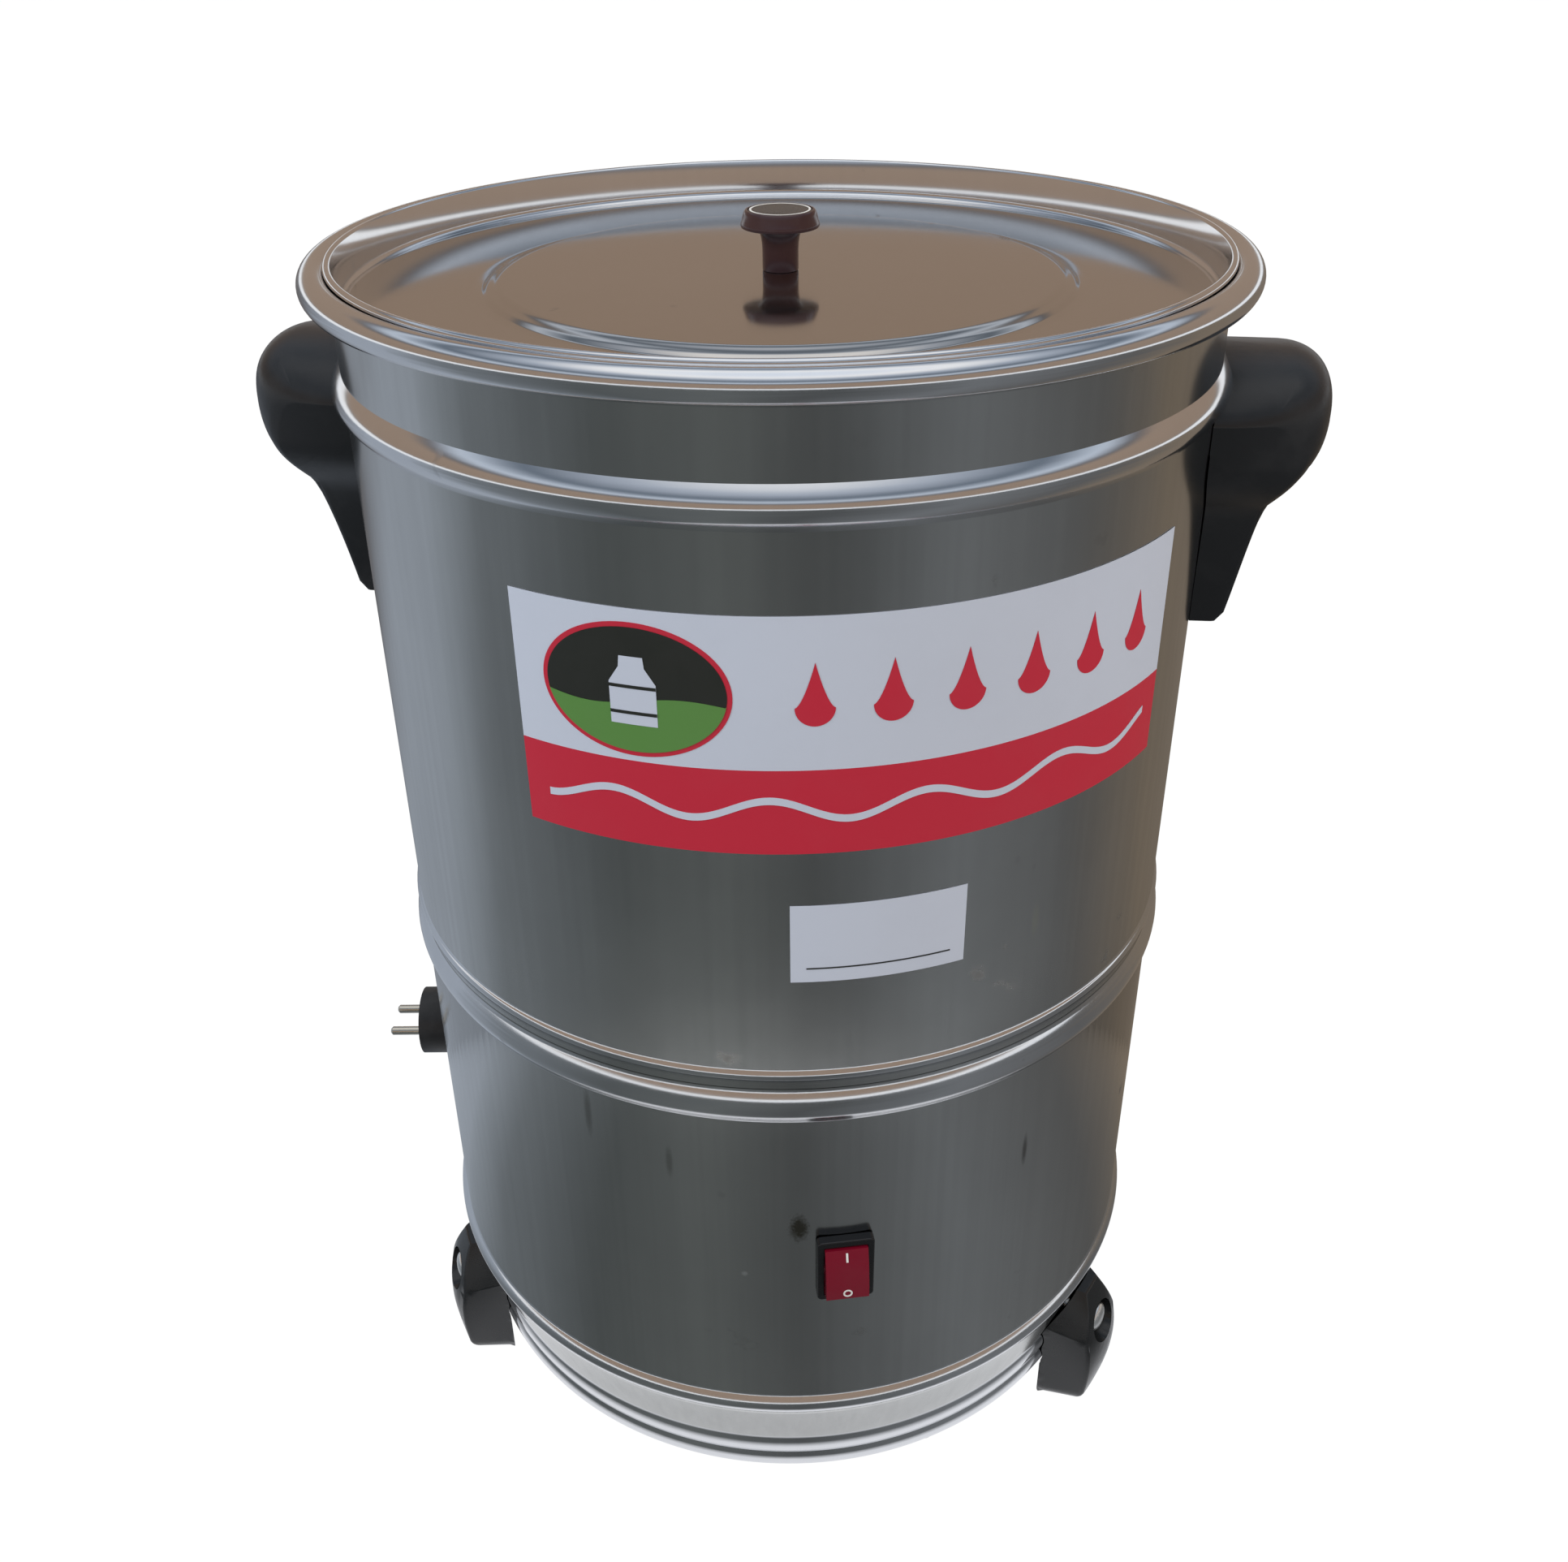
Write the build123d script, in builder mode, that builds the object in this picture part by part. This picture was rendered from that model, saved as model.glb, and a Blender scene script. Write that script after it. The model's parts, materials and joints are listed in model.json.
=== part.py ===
from build123d import *
import os
from math import sin, cos, tan, atan2, radians, degrees, sqrt, hypot, pi

os.makedirs("parts", exist_ok=True)

# Electric butter churn: a steel tank over a motor base, lid on top, paddle inside.
# Frame: origin on the tank's axis at the floor, +Z up, handles along X, switch side towards -Y.
# Azimuths are degrees from -Y, turning towards +X.

# Steel walls
wall_r = 175.0
wall_t = 1.0
fit = 0.3
weld_gap = 0.1

# Heights of the tank and the motor base
ring_z = 25.0
joint_z = 271.0
rim_z = 551.0

# Rolled lip and beads
lip_roll_r = 6.0
rim_bead_drop = 32.0
rim_bead_h = 16.0
rim_bead_p = 4.7
curl_h = 6.0
curl_p = 1.6
base_bead_h = 17.0
base_bead_p = 3.0
low_bead_z = 74.5
low_bead_h = 12.0
low_bead_p = 3.0
ring_r = 166.3
ring_p = 1.2
ring_roll_h = 11.0
ring_edge_h = 9.0
ledge_w = 12.0

# Tank floor and its seal
floor_t = 1.5
floor_dip = 12.0
floor_flange_h = 15.0
seal_barrel_r = 21.8
seal_flange_r = 32.0
seal_flange_t = 4.0
seal_up = 14.0
seal_down = 13.0
seal_bore_r = 14.0

# Motor
shaft_r = 7.0
run_gap = 0.05
motor_r = 60.0
stack_h = 70.0
stack_bore_r = 36.0
air_gap = 0.5
shield_h = 30.0
shield_t = 5.0
bearing_r = 16.0
bearing_h = 10.0
bolt_r = 2.5
bolt_circle_r = 53.0
bracket_t = 5.0
bracket_r = 88.0
bracket_drop = 31.0
post_r = 9.0
post_circle_r = 72.0
stud_r = 4.0
fan_r = 48.0
fan_h = 12.0
fan_blades = 9

# Paddle
paddle_r = 78.0
paddle_hub_r = 15.0
paddle_hub_h = 28.0
paddle_blades = 4
paddle_blade_t = 3.0
paddle_blade_w = 34.0
paddle_lift = 7.0
paddle_root_pitch = 58.0
paddle_tip_pitch = 24.0

# Lid and knob
lid_t = 1.0
lid_sink = 9.5
lid_clear = 0.8
lid_disc_r = 114.0
lid_disc_h = 3.0
lid_step_w = 9.0
lid_roll_r = 1.6
knob_r = 15.7
knob_h = 23.0
knob_head_h = 6.8
knob_stem_r = 7.2
knob_neck_r = 9.4
cap_r = 12.8
cap_t = 1.2
knob_bore_r = 2.6

# Handles
handle_w = 90.0
handle_t = 6.0
handle_top = 523.0
handle_low = 406.0
handle_reach = 44.5
handle_nose_drop = 23.0
handle_top_reach = 28.0
handle_tail_reach = 12.5
handle_knee_reach = 24.5
handle_knee_drop = 66.0
handle_tail_h = 34.0
handle_back_gap = 9.5
handle_screw_r = 2.5
handle_boss_r = 5.5

# Feet
foot_az = 64.0
foot_back_w = 50.0
foot_front_w = 34.0
foot_h = 73.0
foot_inset = 4.3
foot_reach = 20.0
foot_lean = 10.0
foot_screw_z = 46.0
foot_recess_r = 11.0
foot_recess_d = 7.0
foot_screw_r = 3.0
foot_head_r = 6.3

# Bottom plate
plate_t = 1.5
plate_slots = 16
plate_screw_r = 2.0
flange_w = 10.0

# Rocker switch
switch_az = 14.0
switch_z = 171.0
bezel_w = 24.5
bezel_h = 34.0
bezel_t = 4.0
rocker_w = 18.4
rocker_h = 26.0
rocker_flat = 12.4
rocker_crown = 6.5
rocker_tilt = 10.0
rocker_pivot = 1.8
switch_depth = 22.0
switch_pin_r = 1.5

# Run capacitor and terminal block on the bottom plate
capacitor_r = 18.0
capacitor_h = 58.0
capacitor_x = -104.0
capacitor_y = -72.0
clamp_t = 1.25
clamp_h = 22.0
clamp_foot = 15.0
block_l = 46.0
block_w = 20.0
block_h = 16.0
block_x = -70.0
block_y = 92.0

# Supply cord
cord_d = 7.0
gland_out = 20.0
coil_az = -128.5
coil_out = 57.5
coil_r = 34.0
coil_z = 155.0
coil_tube_r = 11.0
plug_face_r = 18.5


def around(az, r, z):
    """Plane on a circle about Z: x along the circle, y up, z outward."""
    a = radians(az)
    return Plane(origin=(r * sin(a), -r * cos(a), z), x_dir=(cos(a), sin(a), 0), z_dir=(sin(a), -cos(a), 0))


def upright(az):
    """Vertical plane through Z: x outward, y up."""
    a = radians(az)
    return Plane(origin=(0, 0, 0), x_dir=(sin(a), -cos(a), 0), z_dir=(-cos(a), -sin(a), 0))


def save(item, name):
    item.label = name
    export_step(item, "parts/" + name + ".step")


# Tank wall: rolled lip, bead under it and a curl at the lower edge
upper_screw_z = handle_top - 32.0
tail_screw_z = handle_low + handle_tail_h / 2
upper_screw_y = handle_w / 2 - handle_t - handle_boss_r + 1.0
tank_low_z = joint_z - 0.7
curl_z = joint_z + 3.0
bead_top = rim_z - rim_bead_drop
bead_low = bead_top - rim_bead_h
tank_in_r = wall_r - wall_t

with BuildPart() as tank_wall:
    with BuildSketch(Plane.XZ):
        with BuildLine():
            Line((wall_r, tank_low_z), (wall_r, curl_z))
            ThreePointArc((wall_r, curl_z), (wall_r + curl_p, curl_z + curl_h / 2), (wall_r, curl_z + curl_h))
            Line((wall_r, curl_z + curl_h), (wall_r, bead_low))
            ThreePointArc(
                (wall_r, bead_low), (wall_r + rim_bead_p, bead_low + rim_bead_h / 2), (wall_r, bead_top)
            )
            Line((wall_r, bead_top), (wall_r, rim_z))
            Line((wall_r, rim_z), (tank_in_r, rim_z))
            Line((tank_in_r, rim_z), (tank_in_r, bead_top))
            ThreePointArc(
                (tank_in_r, bead_top),
                (tank_in_r + rim_bead_p, bead_low + rim_bead_h / 2),
                (tank_in_r, bead_low),
            )
            Line((tank_in_r, bead_low), (tank_in_r, tank_low_z))
            Line((tank_in_r, tank_low_z), (wall_r, tank_low_z))
        make_face()
        with Locations((tank_in_r + lip_roll_r, rim_z)):
            Circle(lip_roll_r)
    revolve(axis=Axis.Z)
    with BuildSketch(Plane.YZ.offset(-wall_r - 10.0)):
        with Locations((upper_screw_y, upper_screw_z), (-upper_screw_y, upper_screw_z), (0.0, tail_screw_z)):
            Circle(handle_screw_r + 0.1)
    extrude(amount=2 * wall_r + 20.0, mode=Mode.SUBTRACT)
save(tank_wall.part, "tank_wall")

# Tank floor: dished pan with an upturned flange, seal hole and four welded motor posts
floor_r = tank_in_r - weld_gap
floor_z = joint_z + 0.2
floor_low_z = floor_z - floor_dip
floor_hole_r = seal_barrel_r + 0.2
bracket_z = floor_low_z - bracket_drop
post_top = floor_low_z + 0.8 * floor_t + floor_dip * (post_circle_r - 40.0) / (floor_r - 64.0)

with BuildPart() as tank_floor:
    with BuildSketch(Plane.XZ):
        with BuildLine():
            Polyline(
                (floor_hole_r, floor_low_z),
                (40.0, floor_low_z),
                (floor_r - 24.0, floor_z),
                (floor_r, floor_z),
                (floor_r, floor_z + floor_flange_h),
                (floor_r - floor_t, floor_z + floor_flange_h),
                (floor_r - floor_t, floor_z + floor_t),
                (floor_r - 24.0, floor_z + floor_t),
                (40.0, floor_low_z + floor_t),
                (floor_hole_r, floor_low_z + floor_t),
                close=True,
            )
        make_face()
    revolve(axis=Axis.Z)
    with BuildSketch(Plane.XY.offset(bracket_z + 0.2)):
        with PolarLocations(post_circle_r, 4, start_angle=45):
            Circle(post_r)
    extrude(amount=post_top - bracket_z - 0.2)
    with BuildSketch(Plane.XY.offset(bracket_z - bracket_t - 8.0)):
        with PolarLocations(post_circle_r, 4, start_angle=45):
            Circle(stud_r)
    extrude(amount=bracket_t + 9.0)
save(tank_floor.part, "tank_floor")


# Motor base shell: bead at the top, thin bead low down, tapered skirt and bottom ring
ring_top = ring_z + ring_roll_h + ring_edge_h
skirt_drop = 1.5


def base_outline(grow):
    """Outer line of the base shell from its ledge down, moved outwards by grow."""
    w = wall_r + grow
    n = ring_r + grow
    top = joint_z - 1.0
    ring_mid = ring_z + ring_edge_h
    Line((w, top), (w, top - 0.5))
    ThreePointArc(
        (w, top - 0.5), (w + base_bead_p, top - 0.5 - base_bead_h / 2), (w, top - 0.5 - base_bead_h)
    )
    Line((w, top - 0.5 - base_bead_h), (w, low_bead_z + low_bead_h))
    ThreePointArc(
        (w, low_bead_z + low_bead_h), (w + low_bead_p, low_bead_z + low_bead_h / 2), (w, low_bead_z)
    )
    Line((w, low_bead_z), (w, low_bead_z - skirt_drop))
    Line((w, low_bead_z - skirt_drop), (n, ring_top))
    ThreePointArc((n, ring_top), (n + ring_p, ring_top - ring_roll_h / 2), (n, ring_mid))
    ThreePointArc((n, ring_mid), (n + ring_p, ring_z + ring_edge_h / 2), (n, ring_z))


base_top = joint_z - 1.0
flange_in_r = ring_r - flange_w
skirt_slope = (wall_r - ring_r) / (low_bead_z - skirt_drop - ring_top)
foot_wall_r = ring_r + skirt_slope * (foot_screw_z - ring_top)

# The cord's gland stands over the rear side of the coil, one quarter bend above it
lead_n0 = gland_out - 10.0
lead_n1 = hypot(wall_r + coil_out, coil_r) - wall_r
lead_run = (lead_n1 - lead_n0) / (1.5 + cos(radians(30)))
gland_az = coil_az - degrees(atan2(coil_r, wall_r + coil_out))
gland_z = coil_z + lead_run * (1.5 + cos(radians(30)))

with BuildPart() as base_shell:
    with BuildSketch(Plane.XZ):
        with BuildLine():
            base_outline(0.0)
            Line((ring_r, ring_z), (flange_in_r, ring_z))
            Line((flange_in_r, ring_z), (flange_in_r, base_top))
            Line((flange_in_r, base_top), (wall_r, base_top))
        make_face()
        with BuildLine():
            base_outline(-wall_t)
            Line((ring_r - wall_t, ring_z), (flange_in_r, ring_z))
            Line((flange_in_r, ring_z), (flange_in_r, base_top))
            Line((flange_in_r, base_top), (wall_r - wall_t, base_top))
        make_face(mode=Mode.SUBTRACT)
        with BuildLine():
            Polyline(
                (wall_r - ledge_w, base_top),
                (wall_r, base_top),
                (wall_r, base_top - 0.5),
                (wall_r - wall_t, base_top - wall_t),
                (wall_r - ledge_w, base_top - wall_t),
                close=True,
            )
        make_face()
        with BuildLine():
            Polyline(
                (flange_in_r, ring_z),
                (ring_r, ring_z),
                (ring_r, ring_z + wall_t),
                (flange_in_r, ring_z + wall_t),
                close=True,
            )
        make_face()
    revolve(axis=Axis.Z)
    with BuildSketch(around(switch_az, wall_r - 8.0, switch_z)):
        Rectangle(bezel_w - 2.4, bezel_h - 2.4)
    extrude(amount=16.0, mode=Mode.SUBTRACT)
    with BuildSketch(around(gland_az, wall_r - 8.0, gland_z)):
        Circle(cord_d / 2 + 3.0)
    extrude(amount=16.0, mode=Mode.SUBTRACT)
    for az in (-foot_az, foot_az, 180.0):
        with BuildSketch(around(az, foot_wall_r - 8.0, foot_screw_z)):
            Circle(foot_screw_r + 0.2)
        extrude(amount=16.0, mode=Mode.SUBTRACT)
    with BuildSketch(Plane.XY.offset(ring_z - 1.0)):
        with PolarLocations(flange_in_r + flange_w / 2, 6):
            Circle(plate_screw_r + 0.2)
    extrude(amount=3.0, mode=Mode.SUBTRACT)
save(base_shell.part, "base_shell")

# Bottom plate with air slots, lying on the shell's inner flange
plate_r = ring_r - wall_t - fit
plate_z = ring_z + wall_t + 0.1

with BuildPart() as bottom_plate:
    with BuildSketch(Plane.XY.offset(plate_z)):
        Circle(plate_r)
        with PolarLocations(plate_r * 0.66, plate_slots):
            SlotOverall(plate_r * 0.36, 7.0, mode=Mode.SUBTRACT)
        with PolarLocations(flange_in_r + flange_w / 2, 6):
            Circle(plate_screw_r + 0.1, mode=Mode.SUBTRACT)
    extrude(amount=plate_t)
save(bottom_plate.part, "bottom_plate")

with BuildPart() as plate_screws:
    with BuildSketch(Plane.XY.offset(ring_z - 2.2)):
        with PolarLocations(flange_in_r + flange_w / 2, 6):
            Circle(plate_screw_r * 1.9)
    extrude(amount=2.0)
    with BuildSketch(Plane.XY.offset(ring_z - 1.0)):
        with PolarLocations(flange_in_r + flange_w / 2, 6):
            Circle(plate_screw_r)
    extrude(amount=plate_z + plate_t + 3.0 - ring_z)
save(plate_screws.part, "plate_screws")

# Lid: pressed disc, raised centre, wall inside the tank's mouth and a rolled edge on the lip
lid_z = rim_z - lid_sink
lid_wall_r = tank_in_r - lid_clear
roll_c = tank_in_r + lip_roll_r
lid_roll_x = lid_wall_r + lid_roll_r - 0.6
lid_roll_z = rim_z + sqrt((lip_roll_r + lid_roll_r + fit) ** 2 - (roll_c - lid_roll_x) ** 2)
step_in = lid_disc_r - lid_step_w / 2
step_out = lid_disc_r + lid_step_w / 2

with BuildPart() as lid:
    with BuildSketch(Plane.XZ):
        with BuildLine():
            Line((3.0, lid_z + lid_disc_h), (step_in, lid_z + lid_disc_h))
            Spline((step_in, lid_z + lid_disc_h), (step_out, lid_z), tangents=[(1.0, 0.0), (1.0, 0.0)])
            Polyline(
                (step_out, lid_z),
                (lid_wall_r - lid_t, lid_z),
                (lid_wall_r - lid_t, lid_roll_z),
                (lid_wall_r, lid_roll_z),
                (lid_wall_r, lid_z - lid_t),
                (step_out, lid_z - lid_t),
            )
            Spline(
                (step_out, lid_z - lid_t),
                (step_in, lid_z + lid_disc_h - lid_t),
                tangents=[(-1.0, 0.0), (-1.0, 0.0)],
            )
            Line((step_in, lid_z + lid_disc_h - lid_t), (3.0, lid_z + lid_disc_h - lid_t))
            Line((3.0, lid_z + lid_disc_h - lid_t), (3.0, lid_z + lid_disc_h))
        make_face()
        with Locations((lid_roll_x, lid_roll_z)):
            Circle(lid_roll_r)
    revolve(axis=Axis.Z)
save(lid.part, "lid")

# Lid knob, its inset top disc and the screw that holds it
knob_z = lid_z + lid_disc_h + 0.1
knob_top = knob_z + knob_h
head_z = knob_top - knob_head_h

with BuildPart() as lid_knob:
    with BuildSketch(Plane.XZ):
        with BuildLine():
            Line((knob_bore_r, knob_z), (knob_stem_r, knob_z))
            Line((knob_stem_r, knob_z), (knob_stem_r, knob_z + knob_h * 0.35))
            Spline(
                (knob_stem_r, knob_z + knob_h * 0.35),
                (knob_neck_r, head_z),
                tangents=[(0.0, 1.0), (0.6, 0.8)],
            )
            Line((knob_neck_r, head_z), (knob_r - 1.0, head_z))
            ThreePointArc((knob_r - 1.0, head_z), (knob_r, head_z + 1.0), (knob_r - 0.4, head_z + 2.2))
            Line((knob_r - 0.4, head_z + 2.2), (cap_r + 1.4, knob_top - 0.5))
            Line((cap_r + 1.4, knob_top - 0.5), (cap_r + 0.9, knob_top))
            Line((cap_r + 0.9, knob_top), (cap_r, knob_top))
            Line((cap_r, knob_top), (cap_r, knob_top - cap_t))
            Line((cap_r, knob_top - cap_t), (0.0, knob_top - cap_t))
            Line((0.0, knob_top - cap_t), (0.0, head_z))
            Line((0.0, head_z), (knob_bore_r, head_z))
            Line((knob_bore_r, head_z), (knob_bore_r, knob_z))
        make_face()
    revolve(axis=Axis.Z)
save(lid_knob.part, "lid_knob")

with BuildPart() as knob_cap:
    with BuildSketch(Plane.XY.offset(knob_top - cap_t + 0.05)):
        Circle(cap_r - 0.1)
    extrude(amount=cap_t)
save(knob_cap.part, "knob_cap")

with BuildPart() as knob_screw:
    with BuildSketch(Plane.XY.offset(lid_z + lid_disc_h - lid_t - 1.3)):
        Circle(8.0)
    extrude(amount=1.2)
    with BuildSketch(Plane.XY.offset(lid_z + lid_disc_h - lid_t - 4.5)):
        Circle(4.8)
    extrude(amount=3.3)
    with BuildSketch(Plane.XY.offset(lid_z + lid_disc_h - lid_t - 2.0)):
        Circle(knob_bore_r - 0.1)
    extrude(amount=head_z - lid_z - lid_disc_h + lid_t + 1.0)
save(knob_screw.part, "knob_screw")


handle_nose_r = wall_r + handle_reach
handle_top_r = wall_r + handle_top_reach
handle_tail_r = wall_r + handle_tail_reach
handle_knee_r = wall_r + handle_knee_reach
handle_back_r = wall_r + handle_back_gap


# Cup handles: a moulded cup, open underneath for the fingers, with a tapering tail
def handle_profile(inset):
    """Side outline of a handle, outward in x and up in y, moved inwards by inset."""
    nose = (handle_nose_r - inset, handle_top - handle_nose_drop)
    knee = (handle_knee_r - inset * 0.85, handle_top - handle_knee_drop)
    top = (handle_top_r - inset * 0.4, handle_top - inset)
    Line((wall_r - 5.0, handle_top - inset), top)
    Spline(
        top,
        nose,
        knee,
        tangents=[(1.0, -0.05), (0.0, -1.0), (-0.55, -0.84)],
    )
    tail_r = handle_tail_r - inset
    Line(knee, (tail_r, handle_low + 4.0))
    Line((tail_r, handle_low + 4.0), (tail_r - 4.0, handle_low))
    Line((tail_r - 4.0, handle_low), (wall_r - 5.0, handle_low))
    Line((wall_r - 5.0, handle_low), (wall_r - 5.0, handle_top - inset))


grip_low = handle_top - handle_nose_drop - 16.0

with BuildPart() as handle_blank:
    with BuildSketch(Plane.XZ):
        with BuildLine():
            handle_profile(0.0)
        make_face()
    extrude(amount=handle_w / 2, both=True)
    outer_edges = handle_blank.edges().filter_by(lambda e: abs(abs(e.center().Y) - handle_w / 2) < 0.1)
    outer_edges = outer_edges.filter_by(lambda e: e.center().X > wall_r + 8.0)
    fillet(outer_edges, radius=2.5)
    with BuildSketch(Plane.XZ) as pocket:
        with BuildLine():
            handle_profile(handle_t)
        make_face()
        with Locations((handle_back_r / 2, (handle_top + handle_low) / 2)):
            Rectangle(handle_back_r, handle_top - handle_low, mode=Mode.SUBTRACT)
        with Locations((handle_back_r + 20.0, (handle_low + handle_tail_h) / 2)):
            Rectangle(40.0, handle_low + handle_tail_h, mode=Mode.SUBTRACT)
    extrude(amount=handle_w / 2 - handle_t, both=True, mode=Mode.SUBTRACT)
    with BuildSketch(Plane.XZ):
        with Locations((handle_back_r, handle_low + handle_tail_h)):
            Rectangle(
                50.0,
                grip_low - handle_low - handle_tail_h,
                align=(Align.MIN, Align.MIN),
            )
    extrude(amount=handle_w / 2 - handle_t, both=True, mode=Mode.SUBTRACT)
    with BuildSketch(Plane.YZ.offset(handle_back_r - 4.0)):
        with Locations((upper_screw_y, upper_screw_z), (-upper_screw_y, upper_screw_z)):
            Circle(handle_boss_r)
    extrude(amount=10.0)
    with BuildSketch(Plane.XZ):
        with BuildLine():
            Polyline(
                (0.0, handle_low - 5.0),
                (wall_r + fit, handle_low - 5.0),
                (wall_r + fit, bead_low - 2.0),
                (wall_r + rim_bead_p + fit, bead_low + 1.0),
                (wall_r + rim_bead_p + fit, bead_top - 1.0),
                (wall_r + fit, bead_top + 2.0),
                (wall_r + fit, handle_top + 5.0),
                (0.0, handle_top + 5.0),
                close=True,
            )
        make_face()
    revolve(axis=Axis.Z, mode=Mode.SUBTRACT)
    with BuildSketch(Plane.YZ.offset(wall_r - 12.0)):
        with Locations((upper_screw_y, upper_screw_z), (-upper_screw_y, upper_screw_z)):
            Circle(handle_screw_r + 0.1)
        with Locations((0.0, tail_screw_z)):
            Circle(handle_screw_r + 0.1)
    extrude(amount=20.0, mode=Mode.SUBTRACT)

with BuildPart() as handle_right:
    add(handle_blank.part)
save(handle_right.part, "handle_right")

with BuildPart() as handle_left:
    add(handle_blank.part.rotate(Axis.Z, 180))
save(handle_left.part, "handle_left")

# Handle screws, put in from inside the tank
screw_x = sqrt(tank_in_r ** 2 - upper_screw_y ** 2)

with BuildPart() as handle_screws:
    for side in (0, 180):
        for y, z, x in (
            (upper_screw_y, upper_screw_z, screw_x),
            (-upper_screw_y, upper_screw_z, screw_x),
            (0.0, tail_screw_z, tank_in_r),
        ):
            with BuildSketch(Plane.YZ.offset(x - 4.0)) as head:
                with Locations((y, z)):
                    Circle(4.6)
            a = extrude(head.sketch, amount=2.6, mode=Mode.PRIVATE)
            with BuildSketch(Plane.YZ.offset(x - 3.0)) as shank:
                with Locations((y, z)):
                    Circle(handle_screw_r)
            c = extrude(shank.sketch, amount=wall_r + 7.5 - x + 3.0, mode=Mode.PRIVATE)
            add((a + c).rotate(Axis.Z, side))
save(handle_screws.part, "handle_screws")


# Feet: moulded legs under the low bead, screwed to the skirt and carrying its ring
foot_back_r = ring_r - foot_inset
foot_front_r = ring_r + foot_reach
lean = atan2(foot_lean, foot_h)
foot_face_r = foot_front_r - foot_screw_z * tan(lean)


def face_plane(az):
    """Plane of a foot's leaning front face: x along the circle, y up the face."""
    flat = around(az, foot_front_r, 0)
    outward = flat.z_dir * cos(lean) + Vector(0, 0, 1) * sin(lean)
    return Plane(origin=flat.origin, x_dir=flat.x_dir, z_dir=outward)


def make_foot(az):
    with BuildPart() as foot:
        with BuildSketch(around(az, foot_back_r, 0)):
            with BuildLine():
                Polyline(
                    (-foot_back_w / 2, -3.0),
                    (foot_back_w / 2, -3.0),
                    (foot_back_w / 2, foot_h * 0.7),
                    (foot_back_w * 0.3, foot_h),
                    (-foot_back_w * 0.3, foot_h),
                    (-foot_back_w / 2, foot_h * 0.7),
                    close=True,
                )
            make_face()
        with BuildSketch(face_plane(az)):
            with BuildLine():
                Polyline(
                    (-foot_front_w / 2, -3.0),
                    (foot_front_w / 2, -3.0),
                    (foot_front_w / 2, foot_h * 0.6),
                    (foot_front_w * 0.2, foot_h * 0.93),
                    (-foot_front_w * 0.2, foot_h * 0.93),
                    (-foot_front_w / 2, foot_h * 0.6),
                    close=True,
                )
            make_face()
        loft(ruled=True)
        outward = around(az, 0, 0).z_dir
        front = foot.faces().sort_by(Axis(origin=(0, 0, 0), direction=outward))[-1]
        fillet(front.edges(), radius=2.0)
        split(bisect_by=Plane.XY)
        with BuildSketch(around(az, foot_face_r - foot_recess_d, foot_screw_z)):
            Circle(foot_recess_r - 1.5)
        extrude(amount=foot_recess_d + 8.0, taper=-10.0, mode=Mode.SUBTRACT)
        with BuildSketch(around(az, foot_back_r - 5.0, foot_screw_z)):
            Circle(foot_screw_r + 0.2)
        extrude(amount=foot_face_r - foot_back_r + 5.0, mode=Mode.SUBTRACT)
        with BuildSketch(upright(az)):
            with BuildLine():
                base_outline(fit)
                Line((ring_r + fit, ring_z), (ring_r + fit, ring_z - fit))
                Line((ring_r + fit, ring_z - fit), (0, ring_z - fit))
                Line((0, ring_z - fit), (0, joint_z - 1.0))
                Line((0, joint_z - 1.0), (wall_r + fit, joint_z - 1.0))
            make_face()
        revolve(axis=Axis.Z, mode=Mode.SUBTRACT)
    return foot.part


with BuildPart() as foot_front_left:
    add(make_foot(-foot_az))
save(foot_front_left.part, "foot_front_left")

with BuildPart() as foot_front_right:
    add(make_foot(foot_az))
save(foot_front_right.part, "foot_front_right")

with BuildPart() as foot_rear:
    add(make_foot(180.0))
save(foot_rear.part, "foot_rear")

head_r0 = foot_face_r - foot_recess_d + 0.2

with BuildPart() as foot_screws:
    for az in (-foot_az, foot_az, 180.0):
        with BuildSketch(around(az, head_r0, foot_screw_z)):
            Circle(foot_head_r)
        extrude(amount=3.4, taper=25.0)
        with BuildSketch(around(az, foot_wall_r - 10.0, foot_screw_z)):
            Circle(foot_screw_r)
        extrude(amount=head_r0 - foot_wall_r + 11.0)
save(foot_screws.part, "foot_screws")

with BuildPart() as foot_nuts:
    for az in (-foot_az, foot_az, 180.0):
        with BuildSketch(around(az, foot_wall_r - wall_t - 5.3 - foot_screw_r * 1.9 * skirt_slope, foot_screw_z)):
            RegularPolygon(foot_screw_r * 1.9, 6)
            Circle(foot_screw_r + 0.1, mode=Mode.SUBTRACT)
        extrude(amount=5.0)
save(foot_nuts.part, "foot_nuts")

# Seal housing through the tank floor, with its bush and rubber seal
seal_top = floor_low_z + floor_t + seal_up
seal_low = floor_low_z - seal_down

with BuildPart() as seal_housing:
    with BuildSketch(Plane.XZ):
        with BuildLine():
            Polyline(
                (seal_bore_r, seal_low),
                (seal_barrel_r, seal_low),
                (seal_barrel_r, floor_low_z + floor_t + 0.1),
                (seal_flange_r, floor_low_z + floor_t + 0.1),
                (seal_flange_r, floor_low_z + floor_t + seal_flange_t),
                (seal_barrel_r, floor_low_z + floor_t + seal_flange_t),
                (seal_barrel_r - 2.0, seal_top),
                (seal_bore_r, seal_top),
                close=True,
            )
        make_face()
    revolve(axis=Axis.Z)
save(seal_housing.part, "seal_housing")

with BuildPart() as shaft_bush:
    with BuildSketch(Plane.XY.offset(seal_low)):
        Circle(seal_bore_r - 0.05)
        Circle(shaft_r + run_gap, mode=Mode.SUBTRACT)
    extrude(amount=seal_down + 2.0)
save(shaft_bush.part, "shaft_bush")

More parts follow.
